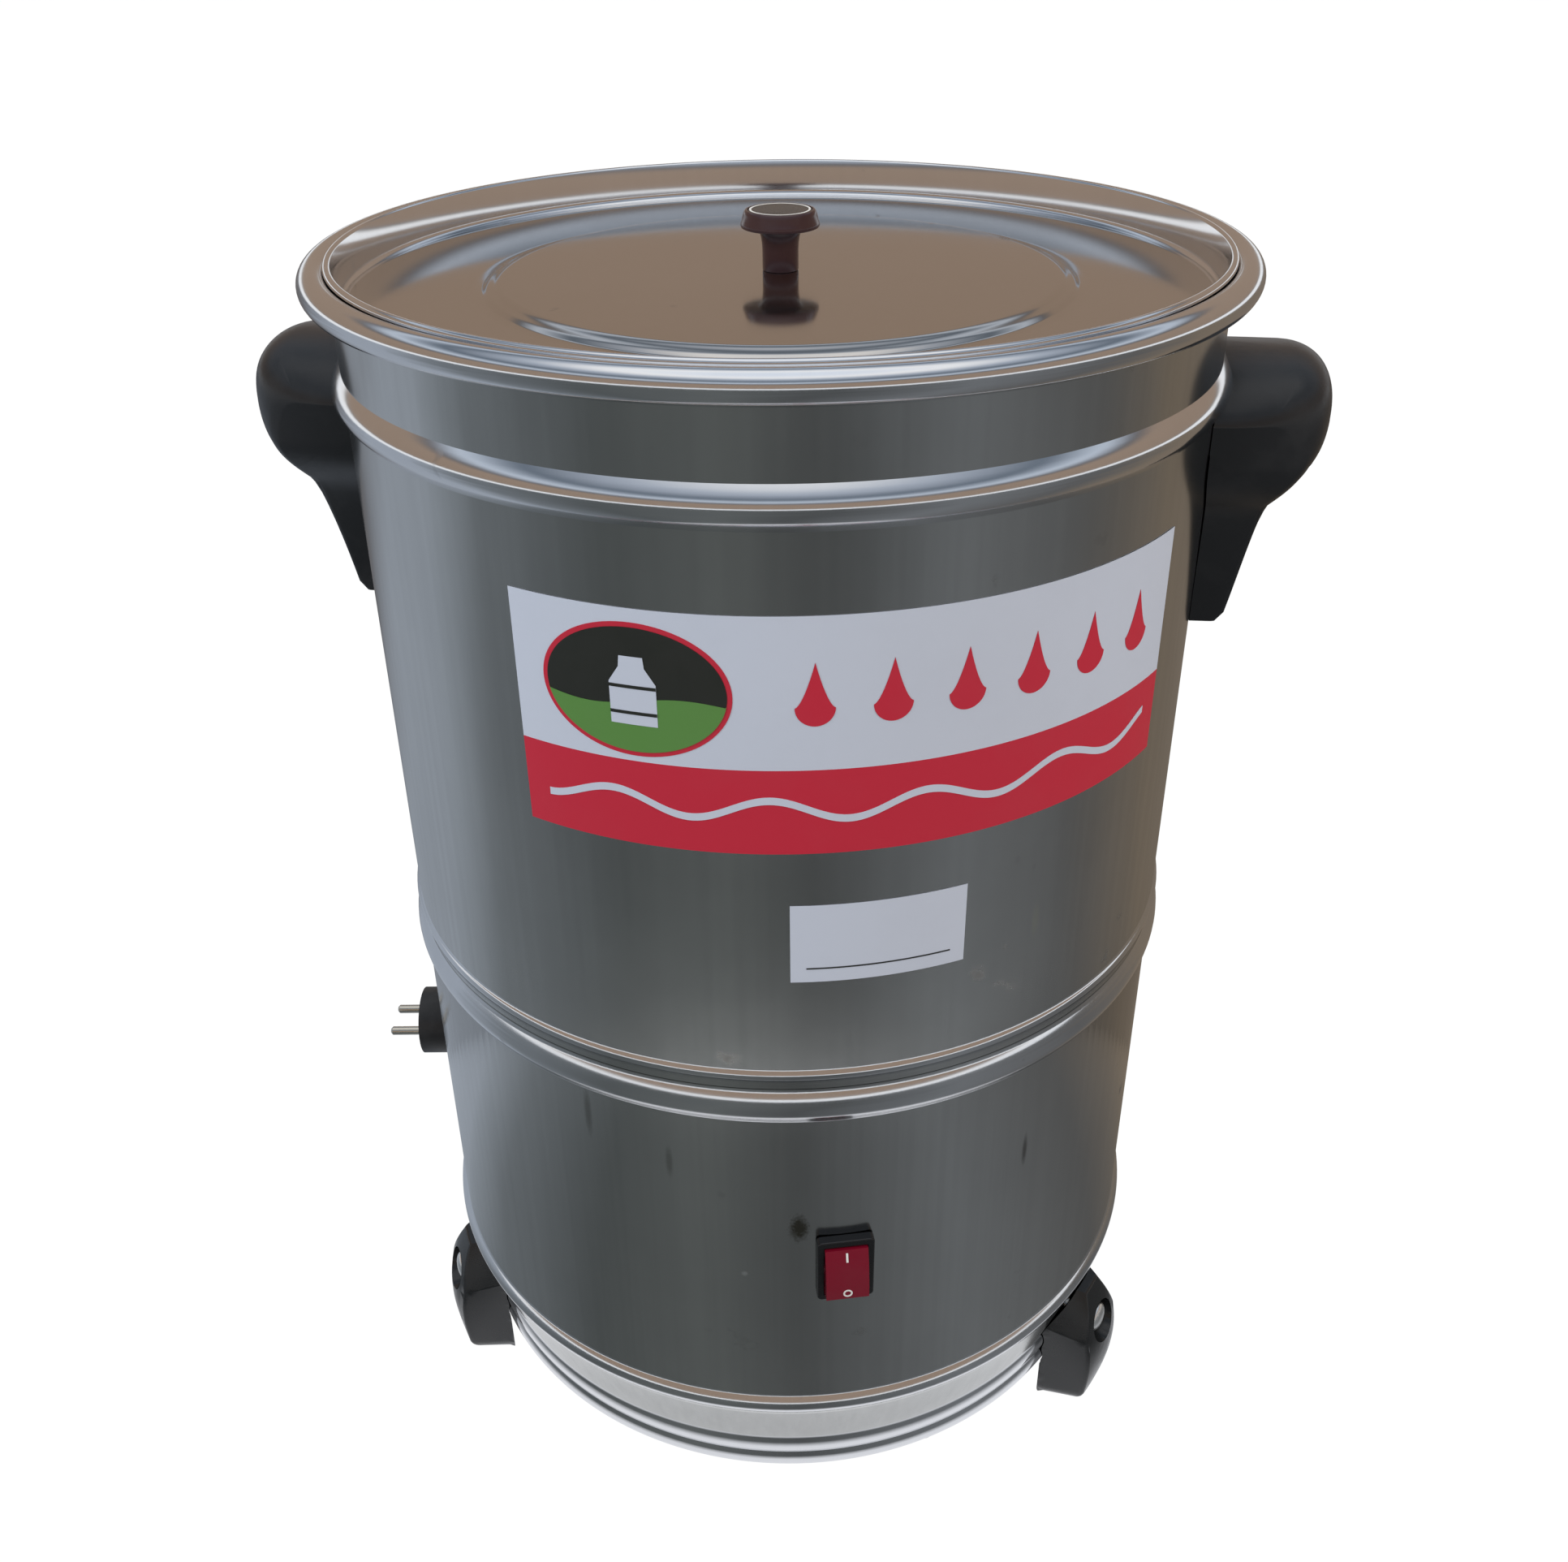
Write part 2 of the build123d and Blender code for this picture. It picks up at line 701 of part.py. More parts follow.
with BuildPart() as shaft_seal:
    with BuildSketch(Plane.XY.offset(floor_low_z + 4.0)):
        Circle(seal_bore_r - 0.05)
        Circle(shaft_r + run_gap, mode=Mode.SUBTRACT)
    extrude(amount=8.0)
save(shaft_seal.part, "shaft_seal")

# Motor: bracket under the floor, two end shields, stator and through bolts
stack_top = bracket_z - bracket_t - shield_h
stack_low = stack_top - stack_h
shield_low = stack_low - shield_h
upper_bearing_z = bracket_z - bracket_t - shield_t - bearing_h + 2.0
lower_bearing_z = shield_low + shield_t - 2.0

with BuildPart() as motor_bracket:
    with BuildSketch(Plane.XY.offset(bracket_z - bracket_t)):
        Circle(bracket_r)
        Circle(bearing_r - 4.0, mode=Mode.SUBTRACT)
        with PolarLocations(post_circle_r, 4, start_angle=45):
            Circle(stud_r + 0.3, mode=Mode.SUBTRACT)
        with PolarLocations(bolt_circle_r, 4):
            Circle(bolt_r + 0.3, mode=Mode.SUBTRACT)
    extrude(amount=bracket_t)
save(motor_bracket.part, "motor_bracket")

with BuildPart() as bracket_nuts:
    with BuildSketch(Plane.XY.offset(bracket_z - bracket_t - 6.3)):
        with PolarLocations(post_circle_r, 4, start_angle=45):
            RegularPolygon(stud_r * 1.8, 6)
            Circle(stud_r + 0.1, mode=Mode.SUBTRACT)
    extrude(amount=6.0)
save(bracket_nuts.part, "bracket_nuts")

with BuildPart() as stator:
    with BuildSketch(Plane.XY.offset(stack_low)):
        Circle(motor_r)
        Circle(stack_bore_r, mode=Mode.SUBTRACT)
        with PolarLocations(bolt_circle_r, 4):
            Circle(bolt_r + 0.3, mode=Mode.SUBTRACT)
    extrude(amount=stack_h)
save(stator.part, "stator")

with BuildPart() as shield_upper:
    with BuildSketch(Plane.XZ):
        with BuildLine():
            Polyline(
                (shaft_r + 1.5, stack_top + shield_h - 0.2),
                (motor_r, stack_top + shield_h - 0.2),
                (motor_r, stack_top + 0.1),
                (bolt_circle_r - 7.0, stack_top + 0.1),
                (bolt_circle_r - 7.0, upper_bearing_z + bearing_h - 2.0),
                (bearing_r + 5.0, upper_bearing_z + bearing_h - 2.0),
                (bearing_r + 5.0, upper_bearing_z),
                (bearing_r + 0.05, upper_bearing_z),
                (bearing_r + 0.05, upper_bearing_z + bearing_h + 0.1),
                (shaft_r + 1.5, upper_bearing_z + bearing_h + 0.1),
                close=True,
            )
        make_face()
    revolve(axis=Axis.Z)
    with BuildSketch(Plane.XY.offset(stack_top)):
        with PolarLocations(bolt_circle_r, 4):
            Circle(bolt_r + 0.3)
    extrude(amount=shield_h, mode=Mode.SUBTRACT)
save(shield_upper.part, "shield_upper")

with BuildPart() as shield_lower:
    with BuildSketch(Plane.XZ):
        with BuildLine():
            Polyline(
                (shaft_r + 1.5, shield_low),
                (motor_r, shield_low),
                (motor_r, stack_low - 0.1),
                (bolt_circle_r - 7.0, stack_low - 0.1),
                (bolt_circle_r - 7.0, lower_bearing_z + 2.0),
                (bearing_r + 5.0, lower_bearing_z + 2.0),
                (bearing_r + 5.0, lower_bearing_z + bearing_h),
                (bearing_r + 0.05, lower_bearing_z + bearing_h),
                (bearing_r + 0.05, lower_bearing_z - 0.1),
                (shaft_r + 1.5, lower_bearing_z - 0.1),
                close=True,
            )
        make_face()
    revolve(axis=Axis.Z)
    with BuildSketch(Plane.XY.offset(shield_low - 1.0)):
        with PolarLocations(bolt_circle_r, 4):
            Circle(bolt_r + 0.3)
    extrude(amount=shield_h + 1.0, mode=Mode.SUBTRACT)
save(shield_lower.part, "shield_lower")

with BuildPart() as motor_bolts:
    with BuildSketch(Plane.XY.offset(shield_low - 4.1)):
        with PolarLocations(bolt_circle_r, 4):
            RegularPolygon(bolt_r * 1.8, 6)
    extrude(amount=4.0)
    with BuildSketch(Plane.XY.offset(shield_low - 1.0)):
        with PolarLocations(bolt_circle_r, 4):
            Circle(bolt_r)
    extrude(amount=bracket_z - shield_low + 5.0)
    with BuildSketch(Plane.XY.offset(bracket_z + 0.1)):
        with PolarLocations(bolt_circle_r, 4):
            RegularPolygon(bolt_r * 1.8, 6)
    extrude(amount=3.0)
save(motor_bolts.part, "motor_bolts")

for name, z in (("bearing_upper", upper_bearing_z), ("bearing_lower", lower_bearing_z)):
    with BuildPart() as bearing:
        with BuildSketch(Plane.XY.offset(z)):
            Circle(bearing_r)
            Circle(shaft_r + run_gap, mode=Mode.SUBTRACT)
        extrude(amount=bearing_h)
        rims = bearing.edges().filter_by(GeomType.CIRCLE)
        chamfer(rims.filter_by(lambda e: e.radius > shaft_r + 1.0), length=0.6)
    save(bearing.part, name)

# Rotor with its shaft, cooling fan under it and the paddle in the tank
paddle_z = seal_top + paddle_lift
shaft_low = shield_low - fan_h - 8.0
shaft_top = paddle_z + paddle_hub_h + 8.0

with BuildPart() as rotor_shaft:
    with BuildSketch(Plane.XY.offset(shaft_low)):
        Circle(shaft_r)
    extrude(amount=shaft_top - shaft_low)
    with BuildSketch(Plane.XY.offset(stack_low + 2.0)):
        Circle(stack_bore_r - air_gap)
    extrude(amount=stack_h - 4.0)
save(rotor_shaft.part, "rotor_shaft")

with BuildPart() as cooling_fan:
    with BuildSketch(Plane.XY.offset(shaft_low + 3.0)):
        Circle(shaft_r + 6.0)
        Circle(shaft_r + run_gap, mode=Mode.SUBTRACT)
    extrude(amount=fan_h)
    with BuildSketch(Plane.XY.offset(shaft_low + 3.0)):
        Circle(fan_r)
        Circle(shaft_r + 3.0, mode=Mode.SUBTRACT)
    extrude(amount=1.5)
    with BuildSketch(Plane.XY.offset(shaft_low + 3.0)):
        with PolarLocations((fan_r + shaft_r) / 2, fan_blades):
            Rectangle(fan_r - shaft_r - 8.0, 1.6, rotation=18.0)
    extrude(amount=fan_h - 2.0)
save(cooling_fan.part, "cooling_fan")


def blade_plane(r, pitch):
    """Cross-section plane of the blade that runs along +X, leaning by its pitch."""
    a = radians(pitch)
    mid = paddle_z + paddle_hub_h / 2
    return Plane(origin=(r, 0, mid), x_dir=(0, cos(a), sin(a)), z_dir=(1, 0, 0))


with BuildPart() as blade:
    with BuildSketch(blade_plane(paddle_hub_r - 3.0, paddle_root_pitch)):
        RectangleRounded(paddle_blade_w * 0.72, paddle_blade_t * 1.5, paddle_blade_t * 0.6)
    with BuildSketch(
        blade_plane((paddle_hub_r + paddle_r) / 2, (paddle_root_pitch + paddle_tip_pitch) / 2)
    ):
        RectangleRounded(paddle_blade_w, paddle_blade_t, paddle_blade_t * 0.4)
    with BuildSketch(blade_plane(paddle_r, paddle_tip_pitch)):
        RectangleRounded(paddle_blade_w * 0.8, paddle_blade_t * 0.8, paddle_blade_t * 0.3)
    loft()

with BuildPart() as paddle:
    with BuildSketch(Plane.XY.offset(paddle_z)):
        Circle(paddle_hub_r)
    extrude(amount=paddle_hub_h)
    with PolarLocations(0, paddle_blades):
        add(blade.part)
    with BuildSketch(Plane.XY.offset(paddle_z - 1.0)):
        Circle(shaft_r + run_gap)
    extrude(amount=paddle_hub_h + 2.0, mode=Mode.SUBTRACT)
save(paddle.part, "paddle")

nut_z = paddle_z + paddle_hub_h + 0.1
dome_r = shaft_r + 2.0

with BuildPart() as paddle_nut:
    with BuildSketch(Plane.XY.offset(nut_z)):
        RegularPolygon(shaft_r + 4.5, 6)
    extrude(amount=8.0)
    with BuildSketch(Plane.XZ):
        with BuildLine():
            Line((0, nut_z + 6.0), (dome_r, nut_z + 6.0))
            Line((dome_r, nut_z + 6.0), (dome_r, nut_z + 8.0))
            ThreePointArc(
                (dome_r, nut_z + 8.0),
                (dome_r * cos(radians(45)), nut_z + 8.0 + dome_r * sin(radians(45))),
                (0, nut_z + 8.0 + dome_r),
            )
            Line((0, nut_z + 8.0 + dome_r), (0, nut_z + 6.0))
        make_face()
    revolve(axis=Axis.Z)
    with BuildSketch(Plane.XY.offset(nut_z - 1.0)):
        Circle(shaft_r + run_gap)
    extrude(amount=shaft_top + 1.2 - nut_z, mode=Mode.SUBTRACT)
save(paddle_nut.part, "paddle_nut")

# Run capacitor in its clamp and the terminal block, on the bottom plate
box_z = plate_z + plate_t

with BuildPart() as run_capacitor:
    with BuildSketch(Plane.XY.offset(box_z + 0.1)):
        with Locations((capacitor_x, capacitor_y)):
            Circle(capacitor_r)
    extrude(amount=capacitor_h)
    top_rim = run_capacitor.edges().filter_by(GeomType.CIRCLE).sort_by(Axis.Z)[-1]
    fillet(top_rim, radius=2.0)
    with BuildSketch(Plane.XY.offset(box_z + capacitor_h)):
        with Locations((capacitor_x - capacitor_r / 3, capacitor_y), (capacitor_x + capacitor_r / 3, capacitor_y)):
            Rectangle(0.8, 6.3)
    extrude(amount=9.0)
save(run_capacitor.part, "run_capacitor")

with BuildPart() as capacitor_clamp:
    with BuildSketch(Plane.XY.offset(box_z + 0.1)):
        with Locations((capacitor_x, capacitor_y)):
            Circle(capacitor_r + 0.15 + clamp_t)
            Circle(capacitor_r + 0.15, mode=Mode.SUBTRACT)
    extrude(amount=clamp_h)
    with BuildSketch(Plane.XY.offset(box_z + 0.1)):
        with Locations((capacitor_x + capacitor_r + clamp_foot / 2 + 0.5, capacitor_y)):
            Rectangle(clamp_foot, clamp_foot)
    extrude(amount=1.5)
save(capacitor_clamp.part, "capacitor_clamp")

with BuildPart() as terminal_block:
    with BuildSketch(Plane.XY.offset(box_z + 0.1)):
        with Locations((block_x, block_y)):
            Rectangle(block_l, block_w)
    extrude(amount=block_h)
    with BuildSketch(Plane.XY.offset(box_z + block_h / 2)):
        with Locations((block_x, block_y)):
            with GridLocations(block_l * 0.28, block_w / 2, 3, 2):
                Circle(block_w * 0.13)
    extrude(amount=block_h, mode=Mode.SUBTRACT)
save(terminal_block.part, "terminal_block")

# Rocker switch in the base shell
bezel_r = wall_r + 0.35
body_w = bezel_w - 3.0
body_h = bezel_h - 3.0

with BuildPart() as switch_body:
    with BuildSketch(around(switch_az, bezel_r, switch_z)):
        RectangleRounded(bezel_w, bezel_h, 2.0)
    extrude(amount=bezel_t)
    fillet(switch_body.faces().sort_by(Axis((0, 0, 0), around(switch_az, 0, 0).z_dir))[-1].edges(), 0.7)
    with BuildSketch(around(switch_az, bezel_r - switch_depth, switch_z)):
        Rectangle(body_w, body_h)
    extrude(amount=switch_depth + 1.0)
    with BuildSketch(around(switch_az, bezel_r - 11.0, switch_z)):
        Rectangle(rocker_w + 0.6, rocker_h + 2.0)
    extrude(amount=bezel_t + 13.0, mode=Mode.SUBTRACT)
    with BuildSketch(around(switch_az, bezel_r - switch_depth - 7.0, switch_z)):
        with Locations((0, switch_depth * 0.45), (0, 0), (0, -switch_depth * 0.45)):
            Rectangle(6.3, 0.8)
    extrude(amount=8.0)
    pivot = around(switch_az, bezel_r + rocker_pivot, switch_z)
    pin_plane = Plane(origin=pivot.origin, x_dir=pivot.y_dir, z_dir=pivot.x_dir)
    with BuildSketch(pin_plane):
        Circle(switch_pin_r + run_gap)
    extrude(amount=rocker_w / 2 + 1.2, both=True, mode=Mode.SUBTRACT)
save(switch_body.part, "switch_body")

# The rocker's upper side is pressed in at rest; its crowned face has a flat middle
rock_plane = Plane(
    origin=pivot.origin,
    x_dir=pivot.y_dir * cos(radians(rocker_tilt)) - pivot.z_dir * sin(radians(rocker_tilt)),
    z_dir=pivot.x_dir,
)
rock_end = rocker_h / 2 - 0.5

with BuildPart() as switch_rocker:
    with BuildSketch(rock_plane):
        with BuildLine():
            Polyline(
                (-rocker_h / 2, -2.0),
                (0, -6.0),
                (rocker_h / 2, -2.0),
                (rock_end, rocker_crown - 1.0),
                (rocker_flat / 2, rocker_crown),
                (-rocker_flat / 2, rocker_crown),
                (-rock_end, rocker_crown - 1.0),
                close=True,
            )
        make_face()
    extrude(amount=rocker_w / 2, both=True)
    with BuildSketch(rock_plane):
        Circle(switch_pin_r)
    extrude(amount=rocker_w / 2 + 0.9, both=True)
save(switch_rocker.part, "switch_rocker")

# Supply cord: gland, free lead, tied coil, tail and plug
gland_plane = around(gland_az, wall_r, gland_z)

with BuildPart() as cord_gland:
    with BuildSketch(around(gland_az, wall_r - 3.0, gland_z)):
        Circle(cord_d / 2 + 2.9)
        Circle(cord_d / 2 + 0.1, mode=Mode.SUBTRACT)
    extrude(amount=4.0)
    with BuildSketch(around(gland_az, wall_r + fit, gland_z)):
        Circle(cord_d / 2 + 6.0)
        Circle(cord_d / 2 + 0.1, mode=Mode.SUBTRACT)
    extrude(amount=3.5)
    with BuildSketch(around(gland_az, wall_r + fit + 3.5, gland_z)):
        Circle(cord_d / 2 + 4.0)
    extrude(amount=gland_out - 3.5 - fit, taper=7.0)
    with BuildSketch(around(gland_az, wall_r - 4.0, gland_z)):
        Circle(cord_d / 2 + 0.1)
    extrude(amount=gland_out + 5.0, mode=Mode.SUBTRACT)
    with BuildSketch(around(gland_az, wall_r - 6.0, gland_z)):
        Circle(cord_d / 2 + 5.5)
        Circle(cord_d / 2 + 0.1, mode=Mode.SUBTRACT)
    extrude(amount=3.6)
save(cord_gland.part, "cord_gland")

# The coil stands in a vertical plane parallel to the wall beside it
coil_plane = around(coil_az, wall_r + coil_out, coil_z)
coil_centre = coil_plane.origin
coil_side = coil_plane.x_dir * -1


def on_coil(along, up):
    return coil_centre + coil_side * along + Vector(0, 0, up)


# Lead: out of the gland, over and down into the coil's rear side
out_dir = gland_plane.z_dir
lead_start = gland_plane.origin + out_dir * lead_n0
lead_points = [lead_start]
for turn in (0, 30, 60, 90):
    step = out_dir * cos(radians(turn)) - Vector(0, 0, 1) * sin(radians(turn))
    lead_points.append(lead_points[-1] + step * lead_run)

plug_dir = Vector(-cos(radians(6.5)), -sin(radians(6.5)), 0)
plug_back = Vector(-plug_dir.Y, plug_dir.X, 0) * -1
plug_centre = Vector(-210.0, 27.0, coil_z - coil_r)
boot_end = plug_centre - plug_dir * 13.0 + plug_back * (plug_face_r + 20.0)
tail_start = boot_end - plug_back * 8.0
tail_end = on_coil(6.0, -coil_r)
tail_points = [
    tail_start,
    tail_start + plug_back * 31.0,
    tail_end - coil_side * 31.0,
    tail_end,
]


def bends(points, name):
    """Largest arcs that the runs allow, with their radii printed."""
    radii = []
    for i in range(1, len(points) - 1):
        a = points[i] - points[i - 1]
        b = points[i + 1] - points[i]
        turn = radians(a.get_angle(b))
        radii.append(0.45 * min(a.length, b.length) / tan(turn / 2))
    print(name, "runs", [round((q - p).length, 1) for p, q in zip(points, points[1:])])
    print(name, "radii", [round(r, 1) for r in radii])
    return radii


def cord_tube(points, name):
    with BuildPart() as tube:
        with BuildLine() as path:
            FilletPolyline(*points, radius=bends(points, name))
        start = path.line @ 0
        with BuildSketch(Plane(origin=start, z_dir=path.line % 0)):
            Circle(cord_d / 2)
        sweep(path=path.line)
    length = sum(edge.length for edge in path.edges())
    print(name, "length", round(length, 1), "volume ratio", round(tube.part.volume / (length * pi * cord_d**2 / 4), 4))
    return tube.part


with BuildPart() as cord_lead:
    add(cord_tube(lead_points, "lead"))
save(cord_lead.part, "cord_lead")

with BuildPart() as cord_tail:
    add(cord_tube(tail_points, "tail"))
save(cord_tail.part, "cord_tail")

with BuildPart(Plane(origin=coil_centre, x_dir=coil_side, z_dir=coil_plane.z_dir)) as cord_coil:
    Torus(coil_r, coil_tube_r)
save(cord_coil.part, "cord_coil")

with BuildPart() as cord_tie:
    top = on_coil(0.0, coil_r)
    with BuildSketch(Plane(origin=top - coil_side * 3.0, x_dir=(0, 0, 1), z_dir=coil_side)):
        Circle(coil_tube_r + 1.7)
        Circle(coil_tube_r + 0.5, mode=Mode.SUBTRACT)
    extrude(amount=6.0)
save(cord_tie.part, "cord_tie")

# Plug with a side boot and two round pins
with BuildPart() as plug_body:
    with BuildSketch(Plane(origin=plug_centre, x_dir=plug_back, z_dir=plug_dir * -1)):
        Circle(plug_face_r)
    extrude(amount=14.0)
    extrude(plug_body.faces().sort_by(Axis(origin=plug_centre, direction=plug_dir * -1))[-1], amount=12.0, taper=28.0)
    with BuildSketch(Plane(origin=plug_centre - plug_dir * 13.0, x_dir=plug_dir, z_dir=plug_back)):
        Circle(8.5)
    extrude(amount=plug_face_r + 20.0, taper=4.0)
    with BuildSketch(Plane(origin=boot_end - plug_back * 8.5, x_dir=plug_dir, z_dir=plug_back)):
        Circle(cord_d / 2 + 0.1)
    extrude(amount=12.0, mode=Mode.SUBTRACT)
    with BuildSketch(Plane(origin=plug_centre, x_dir=plug_back, z_dir=plug_dir * -1)):
        with Locations((9.5, 0), (-9.5, 0)):
            Circle(2.4 + 0.05)
    extrude(amount=8.0, mode=Mode.SUBTRACT)
save(plug_body.part, "plug_body")

with BuildPart() as plug_pins:
    with BuildSketch(Plane(origin=plug_centre - plug_dir * 7.8, x_dir=plug_back, z_dir=plug_dir)):
        with Locations((9.5, 0), (-9.5, 0)):
            Circle(2.4)
    extrude(amount=7.8 + 17.5)
    tips = plug_pins.faces().sort_by(Axis(origin=plug_centre, direction=plug_dir))[-2:]
    chamfer(tips.edges(), length=1.0)
save(plug_pins.part, "plug_pins")
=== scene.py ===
# %% [markdown]
# An electric butter churn: a polished steel tank on a steel motor base, with a knobbed lid,
# two black cup handles, three moulded feet, a rocker switch and a supply cord. The packed
# model gives every piece its place. This file gives the pieces their shapes close up and
# their finishes, step by step.

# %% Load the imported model
import bpy
import bmesh
import json
from math import sin, cos, tan, atan2, pi, radians, degrees, sqrt, hypot
from mathutils import Matrix, Vector


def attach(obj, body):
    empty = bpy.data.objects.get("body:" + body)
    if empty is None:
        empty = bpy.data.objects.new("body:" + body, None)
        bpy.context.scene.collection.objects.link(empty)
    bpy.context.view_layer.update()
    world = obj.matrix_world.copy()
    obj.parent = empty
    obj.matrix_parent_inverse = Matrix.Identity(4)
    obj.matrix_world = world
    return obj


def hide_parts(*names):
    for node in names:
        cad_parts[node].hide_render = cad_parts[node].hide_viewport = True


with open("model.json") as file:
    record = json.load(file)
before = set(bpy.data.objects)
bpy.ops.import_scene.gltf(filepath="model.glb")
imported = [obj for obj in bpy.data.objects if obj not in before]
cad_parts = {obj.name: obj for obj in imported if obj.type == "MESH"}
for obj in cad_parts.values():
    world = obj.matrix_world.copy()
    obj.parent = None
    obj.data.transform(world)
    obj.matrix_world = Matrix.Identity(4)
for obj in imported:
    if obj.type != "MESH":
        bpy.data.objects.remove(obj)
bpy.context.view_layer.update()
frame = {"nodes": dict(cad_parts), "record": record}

# %% [markdown]
# Sizes are in mm, as on a drawing, and MM turns them into the metres of the scene. A place
# round the churn is given by its azimuth, in degrees from the front towards the right.

# %% Driving sizes
MM = 0.001
UP = Vector((0, 0, 1))
WALL_R = 175.0
SHEET = 1.0
IN_R = WALL_R - SHEET
RIM_Z = 551.0
SHELL_TOP = 270.0
RING_R = 166.3
SWITCH_AZ, SWITCH_Z = 14.0, 171.0


def axes_at(az):
    """The directions outwards and along the wall at an azimuth."""
    return Vector((sin(radians(az)), -cos(radians(az)), 0)), Vector((cos(radians(az)), sin(radians(az)), 0))


def wall_place(az, r, z):
    """The point at an azimuth, a radius and a height."""
    return Vector((sin(radians(az)) * r, -cos(radians(az)) * r, z)) * MM


print("wall", 2 * WALL_R, "mm across, rim at", RIM_Z)

# %% [markdown]
# The camera stands a little to the right of the front and looks down at about 31 degrees.
# Its place was found by fitting circles to the rim, the beads and the base ring, so it is
# written here as a position and three directions instead of being aimed by eye.

# %% Camera
TURN = radians(6.5)
PITCH = radians(30.94)
YAW = radians(-0.08)
CAMERA_ROLL = radians(0.63)
CAMERA_BACK, CAMERA_UP = 0.63508, 0.68733
SENSOR_W = 36.0
LENS_SHARE = 1909.0 / 1932.0


def turn_z(v):
    return Vector((v[0] * cos(TURN) - v[1] * sin(TURN), v[0] * sin(TURN) + v[1] * cos(TURN), v[2]))


look = turn_z((sin(YAW) * cos(PITCH), cos(YAW) * cos(PITCH), -sin(PITCH)))
level_right = turn_z((cos(YAW), -sin(YAW), 0))
level_down = look.cross(level_right)
right = cos(CAMERA_ROLL) * level_right + sin(CAMERA_ROLL) * level_down
below = -sin(CAMERA_ROLL) * level_right + cos(CAMERA_ROLL) * level_down
camera_at = turn_z((0, -CAMERA_BACK, CAMERA_UP))

lens = bpy.data.cameras.new("camera")
lens.sensor_fit = "HORIZONTAL"
lens.sensor_width = SENSOR_W
lens.lens = LENS_SHARE * SENSOR_W
camera = bpy.data.objects.new("camera", lens)
bpy.context.collection.objects.link(camera)
camera.matrix_world = Matrix((
    (right.x, -below.x, -look.x, camera_at.x),
    (right.y, -below.y, -look.y, camera_at.y),
    (right.z, -below.z, -look.z, camera_at.z),
    (0, 0, 0, 1),
))
bpy.context.scene.camera = camera
print("camera at", tuple(round(v, 3) for v in camera_at), "lens", round(lens.lens, 2))

# %% [markdown]
# Every finish below is built from shader nodes. A few small helpers keep that readable. The
# main one, feed, gives a socket either a plain value or the output of another node, so a
# sum or a mask can be written in one line.

# %% Node helpers
def add_node(tree, kind, **values):
    node = tree.nodes.new(kind)
    for key, value in values.items():
        if key in node.inputs:
            node.inputs[key].default_value = value
        else:
            setattr(node, key, value)
    return node


def feed(tree, value, socket):
    """Set a socket to a plain value, or join it to another node's output."""
    if isinstance(value, bpy.types.NodeSocket):
        tree.links.new(value, socket)
    else:
        socket.default_value = value


def feed_all(tree, node, values):
    for value, socket in zip(values, node.inputs):
        feed(tree, value, socket)
    return node.outputs


def calc(tree, operation, *terms):
    return feed_all(tree, add_node(tree, "ShaderNodeMath", operation=operation), terms)[0]


def vector_calc(tree, operation, *terms):
    out = feed_all(tree, add_node(tree, "ShaderNodeVectorMath", operation=operation), terms)
    return out["Value" if operation == "LENGTH" else "Vector"]


def noise(tree, vector, **values):
    node = add_node(tree, "ShaderNodeTexNoise")
    feed(tree, vector, node.inputs["Vector"])
    for key, value in values.items():
        feed(tree, value, node.inputs[key])
    return node.outputs["Fac"]


def ranged(tree, value, low, high, to_low=0.0, to_high=1.0):
    """Map low to high onto to_low to to_high, and hold the value at both ends."""
    ends = {"From Min": low, "From Max": high, "To Min": to_low, "To Max": to_high}
    node = add_node(tree, "ShaderNodeMapRange", **ends)
    feed(tree, value, node.inputs["Value"])
    return node.outputs[0]


def rgba(sockets, name):
    """A Mix node has one socket of each name for every data type; this picks the colour."""
    return [s for s in sockets if s.name == name and s.type == "RGBA"][0]


def mixed(tree, share, a, b):
    node = add_node(tree, "ShaderNodeMix", data_type="RGBA")
    feed(tree, share, node.inputs[0])
    feed(tree, a, rgba(node.inputs, "A"))
    feed(tree, b, rgba(node.inputs, "B"))
    return rgba(node.outputs, "Result")


def mixed_shader(tree, share, a, b):
    return feed_all(tree, add_node(tree, "ShaderNodeMixShader"), (share, a, b))[0]


def tone_ramp(tree, value, tones):
    """A colour ramp with one stop for each place and colour."""
    node = add_node(tree, "ShaderNodeValToRGB")
    stops = node.color_ramp.elements
    stops.remove(stops[1])
    for i, (at, color) in enumerate(tones):
        stop = stops[0] if i == 0 else stops.new(at)
        stop.position = at
        stop.color = (*color, 1)
    feed(tree, value, node.inputs[0])
    return node.outputs[0]


def start_material(name, color, metallic, rough, **extra):
    mat = bpy.data.materials.new(name)
    mat.use_nodes = True
    shader = mat.node_tree.nodes["Principled BSDF"]
    shader.inputs["Base Color"].default_value = (*color, 1)
    shader.inputs["Metallic"].default_value = metallic
    shader.inputs["Roughness"].default_value = rough
    for key, value in extra.items():
        shader.inputs[key.replace("_", " ")].default_value = value
    return mat, mat.node_tree, shader


def new_group(name, inputs, outputs):
    group = bpy.data.node_groups.new(name, "ShaderNodeTree")
    for label, kind, value in inputs:
        socket = group.interface.new_socket(label, in_out="INPUT", socket_type=kind)
        socket.default_value = value
    for label, kind in outputs:
        group.interface.new_socket(label, in_out="OUTPUT", socket_type=kind)
    return group, add_node(group, "NodeGroupInput").outputs, add_node(group, "NodeGroupOutput").inputs


# %% [markdown]
# Polished steel sheet isn't even: it keeps faint lines from the rollers along its height,
# cloudy patches where it was wiped, and a few small dull spots. One node group makes all
# three as masks, so the wall, the lid and the beads can each use them at their own strength.

